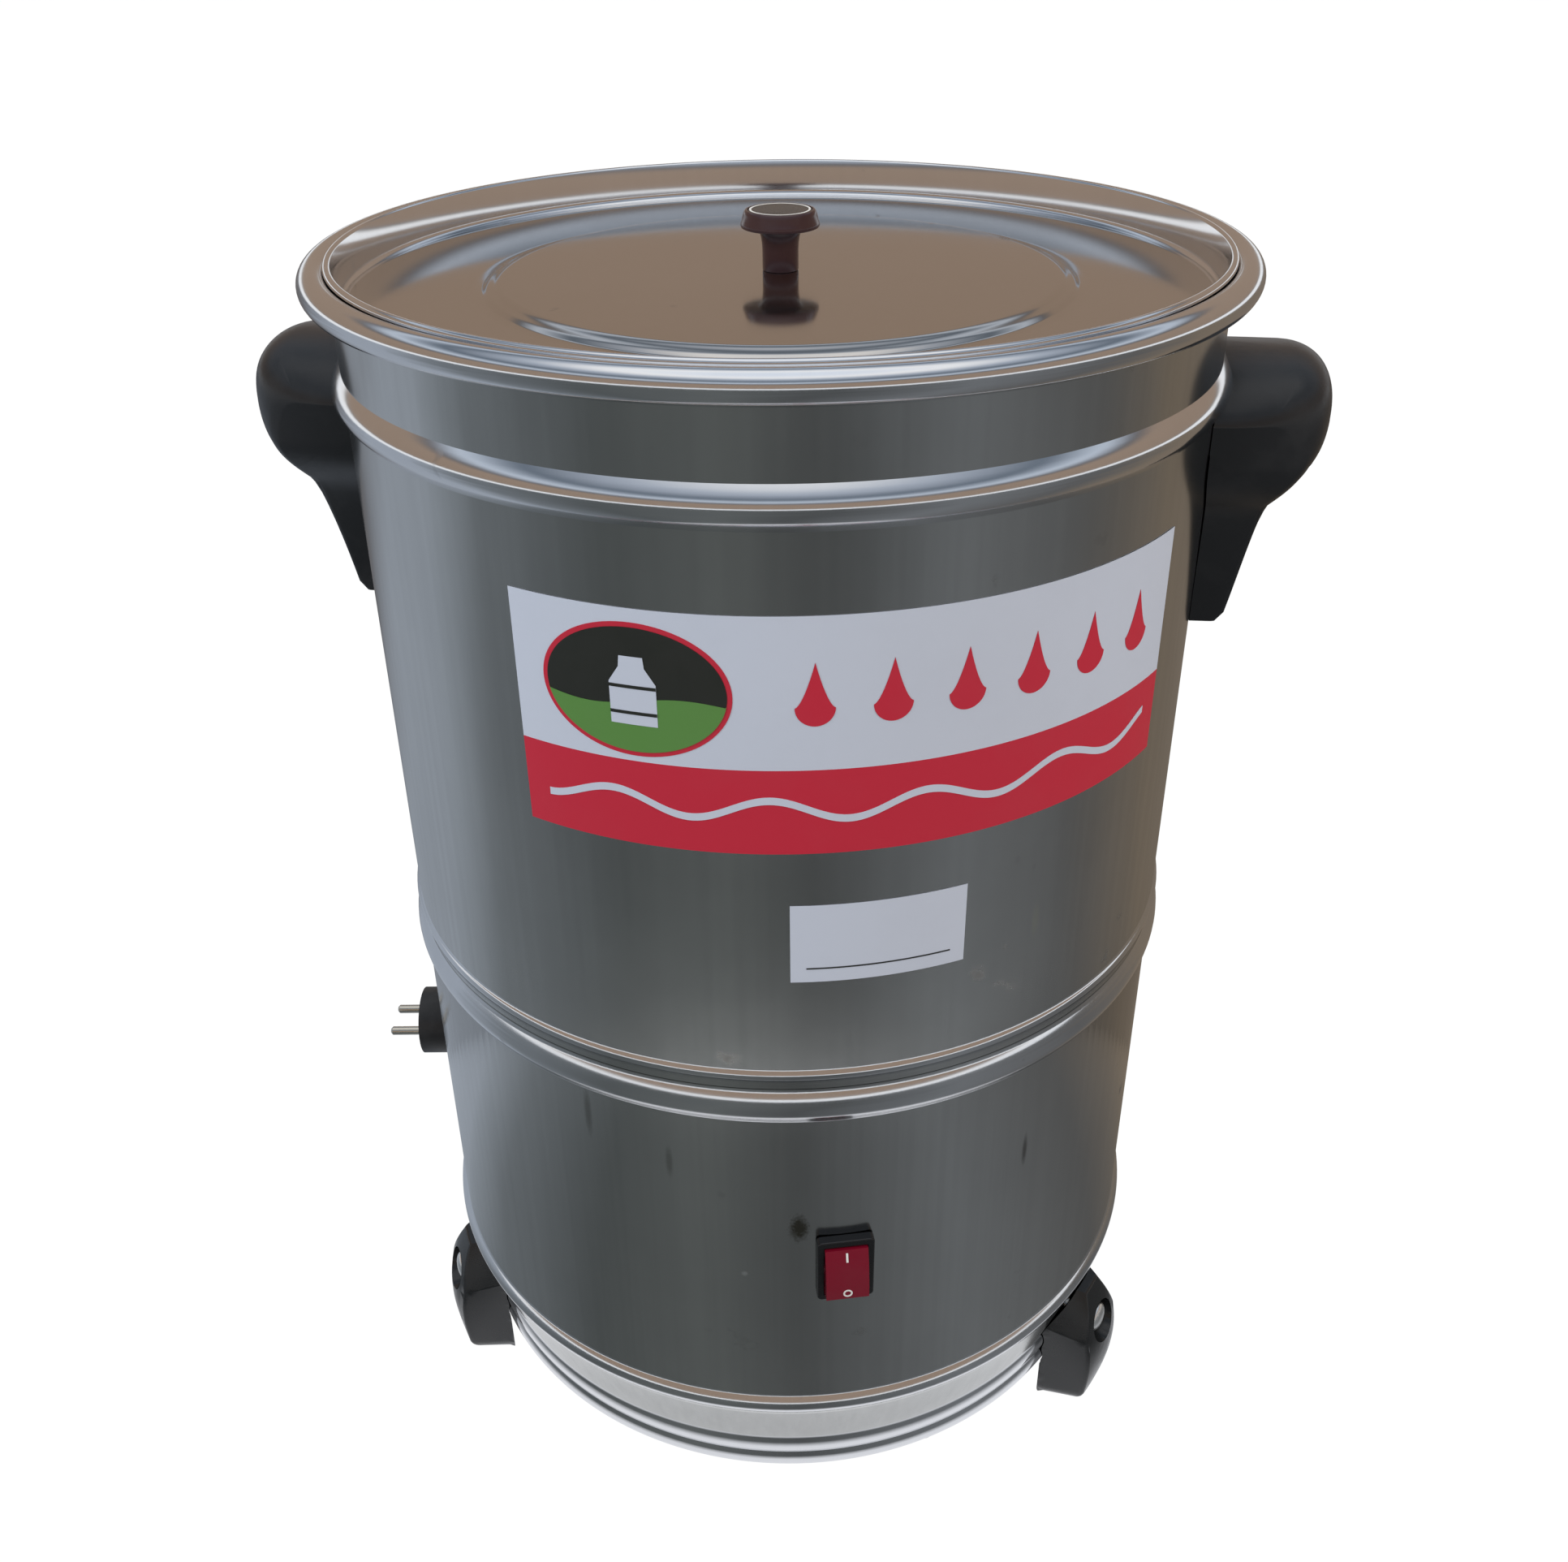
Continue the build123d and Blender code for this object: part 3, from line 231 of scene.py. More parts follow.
# %% Steel sheet group
ROLLER_SCALE = (240, 240, 3)
SPOT_DARKER, SPOT_DULLER, CLOUD_DULLER = -0.28, 0.22, 0.12
sheet, given, made = new_group(
    "steel_sheet",
    [("Color", "NodeSocketColor", (0.5, 0.5, 0.5, 1)), ("Cloud", "NodeSocketFloat", 0.2),
     ("Lines", "NodeSocketFloat", 0.1), ("Rough", "NodeSocketFloat", 0.15)],
    [("Color", "NodeSocketColor"), ("Rough", "NodeSocketFloat"), ("Height", "NodeSocketFloat")],
)
where = add_node(sheet, "ShaderNodeTexCoord").outputs["Object"]
stretch = add_node(sheet, "ShaderNodeMapping", Scale=ROLLER_SCALE)
feed(sheet, where, stretch.inputs["Vector"])
lines = noise(sheet, stretch.outputs[0], Scale=1.0, Detail=3.0)
cloud = noise(sheet, where, Scale=7.0, Detail=5.0, Roughness=0.6)
spots = ranged(sheet, noise(sheet, where, Scale=38.0, Detail=4.0), 0.70, 0.76)

tone = calc(sheet, "MULTIPLY_ADD", calc(sheet, "SUBTRACT", cloud, 0.5), given["Cloud"], 1.0)
tone = calc(sheet, "MULTIPLY_ADD", calc(sheet, "SUBTRACT", lines, 0.5), given["Lines"], tone)
tone = calc(sheet, "MULTIPLY_ADD", spots, SPOT_DARKER, tone)
shade = add_node(sheet, "ShaderNodeVectorMath", operation="SCALE")
feed(sheet, given["Color"], shade.inputs[0])
feed(sheet, tone, shade.inputs["Scale"])
dullness = calc(sheet, "MULTIPLY_ADD", cloud, CLOUD_DULLER, given["Rough"])
feed(sheet, shade.outputs[0], made["Color"])
feed(sheet, calc(sheet, "MULTIPLY_ADD", spots, SPOT_DULLER, dullness), made["Rough"])
feed(sheet, lines, made["Height"])
print("steel sheet group:", len(sheet.nodes), "nodes")

# %% [markdown]
# Moulded plastic has a fine grain, and handled plastic picks up paler rubbed patches and a
# little dust. A second group gives those, again as plain values for the shader.

# %% Moulded plastic group
RUBBED_COLOR = (0.13, 0.13, 0.135, 1)
RUB_DULLER = 0.18
grain, given, made = new_group(
    "moulded_plastic",
    [("Color", "NodeSocketColor", (0.03, 0.03, 0.03, 1)), ("Rub", "NodeSocketFloat", 0.3),
     ("Rough", "NodeSocketFloat", 0.4), ("Grain", "NodeSocketFloat", 900.0)],
    [("Color", "NodeSocketColor"), ("Rough", "NodeSocketFloat"), ("Height", "NodeSocketFloat")],
)
where = add_node(grain, "ShaderNodeTexCoord").outputs["Object"]
rubs = ranged(grain, noise(grain, where, Scale=26.0, Detail=6.0, Roughness=0.65), 0.48, 0.78)
rub_share = calc(grain, "MULTIPLY", rubs, given["Rub"])
feed(grain, mixed(grain, rub_share, given["Color"], RUBBED_COLOR), made["Color"])
feed(grain, calc(grain, "MULTIPLY_ADD", rubs, RUB_DULLER, given["Rough"]), made["Rough"])
feed(grain, noise(grain, where, Scale=given["Grain"], Detail=2.0), made["Height"])
print("moulded plastic group:", len(grain.nodes), "nodes")

# %% [markdown]
# A material takes one of the two groups: its colour and its roughness go to the Principled
# shader, and its height to a very shallow bump.

# %% Use a group in a material
BUMP_HEIGHT = 0.0001


def dress(tree, shader, group, bump, **values):
    node = tree.nodes.new("ShaderNodeGroup")
    node.node_tree = group
    for key, value in values.items():
        node.inputs[key].default_value = value
    raised = add_node(tree, "ShaderNodeBump", Strength=bump, Distance=BUMP_HEIGHT)
    feed(tree, node.outputs["Height"], raised.inputs["Height"])
    feed(tree, node.outputs["Color"], shader.inputs["Base Color"])
    feed(tree, node.outputs["Rough"], shader.inputs["Roughness"])
    feed(tree, raised.outputs["Normal"], shader.inputs["Normal"])


def steel(name, color, cloud, lines, rough, bump=0.02):
    mat, tree, shader = start_material(name, color, 1.0, rough)
    dress(tree, shader, sheet, bump, Color=(*color, 1), Cloud=cloud, Lines=lines, Rough=rough)
    return mat


def plastic(name, color, rub, rough, grain_size, bump):
    mat, tree, shader = start_material(name, color, 0.0, rough)
    dress(tree, shader, grain, bump, Color=(*color, 1), Rub=rub, Rough=rough, Grain=grain_size)
    return mat


# %% [markdown]
# The finishes of the churn. The wall reads as a mid grey mirror. The beads and the rolled
# rims take a brighter copy of the same steel, a painted highlight, and the lid's warmer tone
# is a painted reflection of a warm room.

# %% Finishes
wall_steel = steel("wall_steel", (0.62, 0.625, 0.615), 0.30, 0.16, 0.10)
# A brighter copy of the wall steel: a painted highlight on the beads and the rims.
bead_steel_painted_highlight = steel("bead_steel_painted_highlight", (0.78, 0.79, 0.81), 0.15, 0.04, 0.06)
# The lid's warm tint is a painted reflection of a warm room.
lid_steel = steel("lid_steel", (0.62, 0.60, 0.58), 0.08, 0.03, 0.04)
inner_steel = steel("inner_steel", (0.55, 0.55, 0.55), 0.25, 0.12, 0.25)
bright_zinc = steel("bright_zinc", (0.70, 0.70, 0.69), 0.20, 0.05, 0.18)
screw_shine = steel("screw_shine", (0.92, 0.93, 0.92), 0.10, 0.04, 0.28)
cast_grey = steel("cast_grey", (0.55, 0.56, 0.57), 0.35, 0.02, 0.42, 0.10)
stack_grey = steel("stack_grey", (0.16, 0.17, 0.18), 0.30, 0.20, 0.45, 0.10)
bronze = steel("bronze", (0.62, 0.42, 0.18), 0.25, 0.05, 0.25)
pin_nickel = steel("pin_nickel", (0.62, 0.58, 0.50), 0.20, 0.05, 0.15)
handle_black = plastic("handle_black", (0.012, 0.013, 0.015), 0.10, 0.34, 700.0, 0.12)
foot_black = plastic("foot_black", (0.012, 0.013, 0.014), 0.12, 0.24, 600.0, 0.08)
knob_brown = plastic("knob_brown", (0.045, 0.020, 0.022), 0.12, 0.16, 400.0, 0.04)
bezel_black = plastic("bezel_black", (0.008, 0.008, 0.009), 0.05, 0.22, 500.0, 0.05)
cord_rubber = plastic("cord_rubber", (0.015, 0.015, 0.016), 0.20, 0.42, 800.0, 0.15)
seal_rubber = plastic("seal_rubber", (0.02, 0.02, 0.02), 0.25, 0.55, 500.0, 0.2)
fan_plastic = plastic("fan_plastic", (0.06, 0.06, 0.065), 0.20, 0.45, 500.0, 0.1)
pale_plastic = plastic("pale_plastic", (0.62, 0.61, 0.57), 0.10, 0.35, 500.0, 0.05)
white_ink = plastic("white_ink", (0.80, 0.79, 0.76), 0.05, 0.35, 900.0, 0.02)
label_white = plastic("label_white", (0.60, 0.64, 0.74), 0.04, 0.42, 1500.0, 0.03)
label_red = plastic("label_red", (0.58, 0.018, 0.045), 0.04, 0.42, 1500.0, 0.03)
label_dark = plastic("label_dark", (0.022, 0.024, 0.02), 0.04, 0.42, 1500.0, 0.03)
label_green = plastic("label_green", (0.11, 0.27, 0.06), 0.04, 0.42, 1500.0, 0.03)
print("finishes:", len(bpy.data.materials))

# %% [markdown]
# The rocker is dark red plastic with a glossy skin, so it gets a clear top coat over the
# same grain as the other mouldings.

# %% Rocker red
ROCKER_COLOR = (0.19, 0.004, 0.018)
rocker_red, tree, shader = start_material(
    "rocker_red", ROCKER_COLOR, 0.0, 0.16, Coat_Weight=0.6, Coat_Roughness=0.05
)
dress(tree, shader, grain, 0.03, Color=(*ROCKER_COLOR, 1), Rub=0.05, Rough=0.14, Grain=300.0)

# %% [markdown]
# The wall has a few marks of its own: a brown stain over the switch, a small bright nick
# beside it and some upright rub marks. Each is a soft spot round a named place, broken up
# by noise so that its edge isn't a perfect circle.

# %% Wall marks
RAGGED_SCALE = 3.6


def spot_on(mat, at, radius, color, amount, tall):
    tree = mat.node_tree
    shader = tree.nodes["Principled BSDF"]
    plain_color = shader.inputs["Base Color"].links[0].from_socket
    where = add_node(tree, "ShaderNodeTexCoord").outputs["Object"]
    centred = vector_calc(tree, "SUBTRACT", where, at)
    squeezed = vector_calc(tree, "MULTIPLY", centred, (1, 1, 1 / tall))
    ragged = noise(tree, where, Scale=RAGGED_SCALE / radius, Detail=4.0)
    edge = calc(tree, "MULTIPLY_ADD", ragged, radius, vector_calc(tree, "LENGTH", squeezed))
    mask = ranged(tree, edge, radius * 1.6, radius * 0.9, 0.0, amount)
    feed(tree, mixed(tree, mask, plain_color, (*color, 1)), shader.inputs["Base Color"])


# Azimuth, height, radius, colour, strength and how much taller than wide
WALL_MARKS = (
    (7.7, 193.0, 4.5, (0.10, 0.085, 0.05), 0.85, 1.8),
    (0.0, 165.0, 1.6, (0.95, 0.95, 0.95), 0.9, 1.0),
    (42.0, 205.0, 1.6, (0.12, 0.11, 0.10), 0.7, 6.0),
    (40.0, 330.0, 2.2, (0.70, 0.70, 0.62), 0.6, 4.0),
    (-22.0, 240.0, 2.0, (0.16, 0.15, 0.13), 0.5, 7.0),
    (-10.0, 225.0, 1.8, (0.16, 0.15, 0.13), 0.4, 5.0),
)
for az, z, radius, color, amount, tall in WALL_MARKS:
    spot_on(wall_steel, wall_place(az, WALL_R, z), radius * MM, color, amount, tall)
print("wall marks:", len(WALL_MARKS))

# %% [markdown]
# Round sheet-metal parts are turned: a line of points is spun about the upright axis. That
# is how they are really made, and it keeps the beads crisp. The helper closes the surface,
# turns the faces outwards and marks only the hard corners sharp.

# %% Turning and finishing helpers
def arc(cx, cz, r, a0, a1, n):
    steps = [a0 + (a1 - a0) * i / n for i in range(n + 1)]
    return [(cx + r * cos(radians(a)), cz + r * sin(radians(a))) for a in steps]


def bulge(r, z0, z1, out, n=8):
    """Points of a rounded bead between two heights, up or down the wall."""
    return [(r + out * sin(pi * i / n), z0 + (z1 - z0) * i / n) for i in range(n + 1)]


def finish_mesh(bm, name, material, body, sharp=40.0):
    for f in bm.faces:
        f.smooth = True
    for e in bm.edges:
        if len(e.link_faces) == 2 and e.calc_face_angle(0.0) > radians(sharp):
            e.smooth = False
    mesh = bpy.data.meshes.new(name)
    bm.to_mesh(mesh)
    bm.free()
    obj = bpy.data.objects.new(name, mesh)
    bpy.context.collection.objects.link(obj)
    for m in material if isinstance(material, list) else [material]:
        mesh.materials.append(m)
    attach(obj, body)
    print(name, len(mesh.polygons), "faces")
    return obj


def second_finish(obj, test):
    """Give the faces whose centre passes the test the object's second material."""
    for poly in obj.data.polygons:
        c = poly.center
        if test(hypot(c.x, c.y) / MM, c.z / MM):
            poly.material_index = 1


def turned_mesh(points, steps=192):
    """A closed ring of points, in mm of radius and height, spun once round the axis."""
    bm = bmesh.new()
    verts = [bm.verts.new((x * MM, 0, z * MM)) for x, z in points]
    edges = [bm.edges.new(pair) for pair in zip(verts, verts[1:] + verts[:1])]
    bmesh.ops.spin(
        bm, geom=verts + edges, cent=(0, 0, 0), axis=(0, 0, 1), angle=2 * pi, steps=steps, use_merge=True
    )
    bmesh.ops.remove_doubles(bm, verts=bm.verts, dist=2e-6)
    bmesh.ops.dissolve_degenerate(bm, edges=bm.edges, dist=1e-7)
    bmesh.ops.recalc_face_normals(bm, faces=bm.faces)
    return bm


def turned(name, points, material, body, steps=192):
    return finish_mesh(turned_mesh(points, steps), name, material, body)


# %% [markdown]
# The tank wall: a straight sheet with a small curl at its foot, a wide bead under the rim
# and a rolled lip at the top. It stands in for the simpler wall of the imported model, at
# the same sizes.

# %% Tank wall
WALL_LOW = SHELL_TOP + 0.3
CURL_LOW, CURL_HIGH, CURL_OUT = 274.0, 280.0, 1.6
RIM_BEAD_LOW, RIM_BEAD_HIGH, RIM_BEAD_OUT = 503.0, 519.0, 4.7
LIP_R = 6.0
LIP_MID_R = IN_R + LIP_R
LIP_FINISH_Z = 546.0
lip_meet = degrees(atan2(-sqrt(LIP_R ** 2 - (LIP_MID_R - WALL_R) ** 2), WALL_R - LIP_MID_R))
wall_line = (
    [(WALL_R, WALL_LOW), (WALL_R, CURL_LOW)] + bulge(WALL_R, CURL_LOW, CURL_HIGH, CURL_OUT, 6)[1:]
    + bulge(WALL_R, RIM_BEAD_LOW, RIM_BEAD_HIGH, RIM_BEAD_OUT, 12)
    + arc(LIP_MID_R, RIM_Z, LIP_R, lip_meet, 180.0, 32)
    + bulge(IN_R, RIM_BEAD_HIGH, RIM_BEAD_LOW, RIM_BEAD_OUT, 12) + [(IN_R, WALL_LOW)]
)
tank_wall = turned("tank_wall_look", wall_line, [wall_steel, bead_steel_painted_highlight], "base")
# The bead and lip faces get the brighter steel, a painted highlight.
second_finish(tank_wall, lambda r, z: r > WALL_R + 0.1 or z > LIP_FINISH_Z)
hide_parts("tank_wall")

# %% [markdown]
# The motor base below it carries a bead at its top, a broad bead low down and a skirt that
# draws in to a double rolled ring. The switch sits in a window: four planes slice the sheet
# along the window's sides, the faces inside go, and the two rims are bridged.

# %% Base shell
WINDOW_W, WINDOW_H = 22.1, 31.6
TOP_BEAD_HIGH, TOP_BEAD_LOW = 269.5, 252.5
LOW_BEAD_HIGH, LOW_BEAD_LOW = 86.5, 74.5
BEAD_OUT = 3.0
SKIRT_Z = 73.0
RING_TOP, RING_MID, RING_LOW, RING_OUT = 45.0, 34.0, 25.0, 1.2
RING_IN = RING_R - SHEET
FLANGE_R, SEAT_R = 156.3, 163.0
base_line = (
    [(WALL_R, SHELL_TOP)]
    + bulge(WALL_R, TOP_BEAD_HIGH, TOP_BEAD_LOW, BEAD_OUT, 12)
    + bulge(WALL_R, LOW_BEAD_HIGH, LOW_BEAD_LOW, BEAD_OUT, 12)
    + [(WALL_R, SKIRT_Z)]
    + bulge(RING_R, RING_TOP, RING_MID, RING_OUT)
    + bulge(RING_R, RING_MID, RING_LOW, RING_OUT)[1:]
    + [(FLANGE_R, RING_LOW), (FLANGE_R, RING_LOW + SHEET), (RING_IN, RING_LOW + SHEET)]
    + [(RING_IN, RING_MID), (RING_IN, RING_TOP), (IN_R, SKIRT_Z)]
    + bulge(IN_R, TOP_BEAD_LOW, SHELL_TOP - 1.1, BEAD_OUT, 10)
    + [(SEAT_R, SHELL_TOP - SHEET), (SEAT_R, SHELL_TOP)]
)


def open_window(bm, az, z, width, height):
    """Cut a window of width by height mm through the sheet at one side of the shell."""
    along = axes_at(az)[1]
    middle = wall_place(az, WALL_R, z)
    reach = (width + height) * MM + 0.15
    sides = ((along, width), (-along, width), (UP, height), (-UP, height))

    def near():
        faces = [f for f in bm.faces if (f.calc_center_median() - middle).length < reach]
        faces = [f for f in faces if (f.calc_center_median() - middle).dot(middle) > -0.004]
        edges = {e for f in faces for e in f.edges}
        return faces + list(edges) + list({v for f in faces for v in f.verts})

    def inside(f):
        gap = f.calc_center_median() - middle
        in_width = abs(gap.dot(along)) < width * MM / 2
        in_height = abs(gap.z) < height * MM / 2
        return in_width and in_height and gap.dot(middle) > -0.01

    for direction, size in sides:
        on_side = middle + direction * size * MM / 2
        bmesh.ops.bisect_plane(bm, geom=near(), plane_co=on_side, plane_no=direction)
    bmesh.ops.delete(bm, geom=[f for f in bm.faces if inside(f)], context="FACES")
    rims = [e for e in bm.edges if len(e.link_faces) == 1]
    bmesh.ops.bridge_loops(bm, edges=rims)
    bmesh.ops.recalc_face_normals(bm, faces=bm.faces)


bm = turned_mesh(base_line)
open_window(bm, SWITCH_AZ, SWITCH_Z, WINDOW_W, WINDOW_H)
base_shell = finish_mesh(bm, "base_shell_look", [wall_steel, bead_steel_painted_highlight], "base")
# The bead and ring faces get the brighter steel, a painted highlight.
second_finish(base_shell, lambda r, z: r > WALL_R + 0.1 or (z < RING_TOP and r > RING_R - 0.5))
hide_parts("base_shell")

# %% [markdown]
# The lid is one pressed sheet: a raised centre with a soft double step, a flat ring, a wall
# that stands in the tank's mouth and a thin rolled edge that lies on the lip.

# %% Lid
LID_Z = 541.5
DISC_H = 3.0
LID_HOLE_R, LID_FLAT_R = 3.0, 123.0
LID_WALL = 173.2
LID_CORNER = 3.0
LID_ROLL = 1.6
STEP = (
    (109.5, 3.0), (111.0, 2.9), (112.6, 2.3), (113.8, 1.75), (115.2, 1.6), (116.6, 1.05), (117.6, 0.3),
    (118.5, 0.0),
)
corner_r, corner_z = LID_WALL - LID_CORNER - SHEET, LID_Z + LID_CORNER
edge_r = LID_WALL + LID_ROLL - 0.6
edge_z = RIM_Z + sqrt((LIP_R + LID_ROLL + 0.3) ** 2 - (LIP_MID_R - edge_r) ** 2)
step_top = [(r, LID_Z + h) for r, h in STEP]
step_under = [(r, LID_Z + h - SHEET) for r, h in reversed(STEP)]
lid_line = (
    [(LID_HOLE_R, LID_Z + DISC_H)] + step_top + [(LID_FLAT_R, LID_Z)]
    + arc(corner_r, corner_z, LID_CORNER, -90.0, 0.0, 6)
    + arc(edge_r, edge_z, LID_ROLL, 150.0, -128.0, 14)
    + arc(corner_r, corner_z, LID_CORNER + SHEET, 0.0, -90.0, 6)
    + step_under + [(LID_HOLE_R, LID_Z + DISC_H - SHEET)]
)
lid = turned("lid_look", lid_line, [lid_steel, bead_steel_painted_highlight], "lid", 256)
# The rolled edge gets the brighter steel, a painted highlight.
second_finish(lid, lambda r, z: r > LID_WALL - 4.5)
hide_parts("lid")

# %% [markdown]
# The knob is a turned brown moulding shaped like a mushroom, with a black disc let into its
# top. A thin white ring runs round the disc.

# %% Knob
KNOB_Z = LID_Z + DISC_H + 0.1
KNOB_TOP = KNOB_Z + 23.0
HEAD_Z = KNOB_TOP - 6.8
BORE_R, RECESS_R, RECESS_Z = 2.6, 12.8, KNOB_TOP - 1.2
knob_line = (
    [(BORE_R, KNOB_Z), (6.9, KNOB_Z), (7.2, KNOB_Z + 0.4), (7.2, KNOB_Z + 8.0), (7.35, KNOB_Z + 10.5)]
    + [(7.75, KNOB_Z + 13.0), (8.5, KNOB_Z + 15.0), (9.4, HEAD_Z), (14.7, HEAD_Z), (15.4, HEAD_Z + 0.3)]
    + [(15.7, HEAD_Z + 1.0), (15.6, HEAD_Z + 1.7), (15.3, HEAD_Z + 2.2), (14.6, KNOB_TOP - 1.6)]
    + [(14.2, KNOB_TOP - 0.6), (13.9, KNOB_TOP - 0.15), (13.4, KNOB_TOP)]
    + [(RECESS_R, KNOB_TOP), (RECESS_R, RECESS_Z), (BORE_R, RECESS_Z)]
)
knob = turned("knob_look", knob_line, knob_brown, "lid", 64)
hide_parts("lid_knob")

CAP_R, CAP_LOW, CAP_TOP = 12.6, KNOB_TOP - 1.15, KNOB_TOP - 0.08
cap_line = [(0.0, CAP_LOW), (CAP_R, CAP_LOW), (CAP_R, KNOB_TOP - 0.35)]
cap_line += [(CAP_R - 0.3, CAP_TOP), (0.0, CAP_TOP)]
knob_cap = turned("knob_cap_look", cap_line, bezel_black, "lid", 64)
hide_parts("knob_cap")

RING_IN_R, RING_OUT_R = 11.3, 12.1
ring_low, ring_top = KNOB_TOP - 0.15, KNOB_TOP
ring_line = [(RING_IN_R, ring_low), (RING_OUT_R, ring_low), (RING_OUT_R, ring_top), (RING_IN_R, ring_top)]
knob_ring = turned("knob_ring", ring_line, white_ink, "lid", 64)

# %% [markdown]
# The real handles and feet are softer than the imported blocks. Each copy is sliced by
# parallel planes, so that its flat sides can bend, and then every corner is moved by one
# smooth rule. A handle becomes a hood: it is highest and reaches furthest in the middle,
# and its tail narrows downwards. It is worked in distances from the wall, so its back still
# follows the round tank, and the groove for the bead closes up against the wall.

# %% Softer handles
HANDLE_HALF, HANDLE_REACH = 45.0, 49.0
TAIL_SHARE, TAIL_Z = 0.38, 415.0
KNEE_Z, HANDLE_TOP = 450.0, 523.0
GROOVE_Z, GROOVE_HALF, GROOVE_DEEP = 511.0, 10.6, 5.2
BACK_GAP = 0.3


def smooth(t):
    t = min(1.0, max(0.0, t))
    return t * t * (3 - 2 * t)


def sliced(bm, direction, places):
    for at in places:
        geom = bm.verts[:] + bm.edges[:] + bm.faces[:]
        bmesh.ops.bisect_plane(bm, geom=geom, plane_co=direction * at * MM, plane_no=direction)


def hood_rule(reach, y, z):
    """Where a point of the handle goes, from its distance to the wall, its y and its height."""
    if abs(z - GROOVE_Z) < GROOVE_HALF and reach < GROOVE_DEEP:
        reach = BACK_GAP
    edge = (y / HANDLE_HALF) ** 2
    up = max(0.0, (z - KNEE_Z) / (HANDLE_TOP - KNEE_Z))
    y *= TAIL_SHARE + (1 - TAIL_SHARE) * smooth((z - TAIL_Z) / 75.0)
    y *= 1 - 0.12 * (reach / HANDLE_REACH) ** 2
    reach = max(BACK_GAP, reach * (1 - 0.18 * edge - 0.20 * smooth(up) * edge ** 3))
    raised = 10.0 * edge * (1 - up) * smooth((z - TAIL_Z) / 35.0)
    return reach, y, z + raised - up * (5.0 + 9.0 * edge + 9.0 * edge ** 3)


def soften_handle(bm, side):
    sliced(bm, Vector((side, 0, 0)), range(180, 220, 4))
    sliced(bm, Vector((0, 1, 0)), range(-42, 43, 6))
    sliced(bm, UP, range(410, 522, 6))
    for v in bm.verts:
        x, y, z = v.co.x * side / MM, v.co.y / MM, v.co.z / MM
        reach, y, z = hood_rule(hypot(x, y) - WALL_R, y, z)
        v.co = Vector((side * sqrt((WALL_R + reach) ** 2 - y * y), y, z)) * MM
    bmesh.ops.remove_doubles(bm, verts=bm.verts, dist=2e-6)
    bmesh.ops.dissolve_degenerate(bm, edges=bm.edges, dist=1e-7)


# %% [markdown]
# A foot swells outwards between its ends and its bottom edge is rounded. The rear one swells
# less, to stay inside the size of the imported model. The screw heads move out with the floor
# of their recess.

# %% Rounder feet
FOOT_AZ, FOOT_BACK_R, FOOT_FACE_R, FOOT_HALF = 64.0, 166.0, 186.3, 17.0
FOOT_LEAN = 10.0 / 73.0
FOOT_SWELL, REAR_SWELL, SWELL_SPAN = 9.5, 2.5, 76.0
FOOT_ROUND = 7.0
FOOT_INNER = 165.6
SCREW_LIFT = 5.0


def swell_foot(bm, az, swell=FOOT_SWELL):
    out, along = axes_at(az)
    sliced(bm, UP, [1.0, 2.5, 4.0] + list(range(6, 72, 5)))
    sliced(bm, along, range(-20, 21, 4))
    sliced(bm, out, range(168, 184, 4))
    for v in bm.verts:
        r, t, z = v.co.dot(out) / MM, v.co.dot(along) / MM, v.co.z / MM
        depth = FOOT_FACE_R - z * FOOT_LEAN - FOOT_BACK_R
        q = min(1.0, max(0.0, (r - FOOT_BACK_R) / depth))
        low = max(0.0, 1 - z / FOOT_ROUND) ** 2
        swollen = swell * sin(pi * (z + 2.0) / SWELL_SPAN) * q * (1 - 0.3 * (t / FOOT_HALF) ** 2)
        r += swollen - 3.0 * low * q
        if z < RING_TOP:
            r = max(r, FOOT_INNER)
        t *= 1 - 0.12 * low
        v.co = out * r * MM + along * t * MM + UP * z * MM
    bmesh.ops.dissolve_degenerate(bm, edges=bm.edges, dist=1e-7)


def lift_screws(bm):
    for az in (-FOOT_AZ, FOOT_AZ, 180.0):
        out, along = axes_at(az)
        for v in bm.verts:
            if v.co.dot(out) > 0.170 and abs(v.co.dot(along)) < 0.03:
                v.co += out * SCREW_LIFT * MM


# %% [markdown]
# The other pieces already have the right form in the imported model. Its surfaces come as
# loose triangles, so a copy is welded and smoothed between its hard corners, and the copy
# is what shows.

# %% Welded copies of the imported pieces
WELDED_SHARP = 32.0


def welded(node, material, body, shape):
    bm = bmesh.new()
    bm.from_mesh(frame["nodes"][node].data)
    bmesh.ops.remove_doubles(bm, verts=bm.verts, dist=1e-6)
    if shape:
        shape(bm)
    piece = finish_mesh(bm, node + "_look", material, body, WELDED_SHARP)
    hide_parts(node)
    return piece


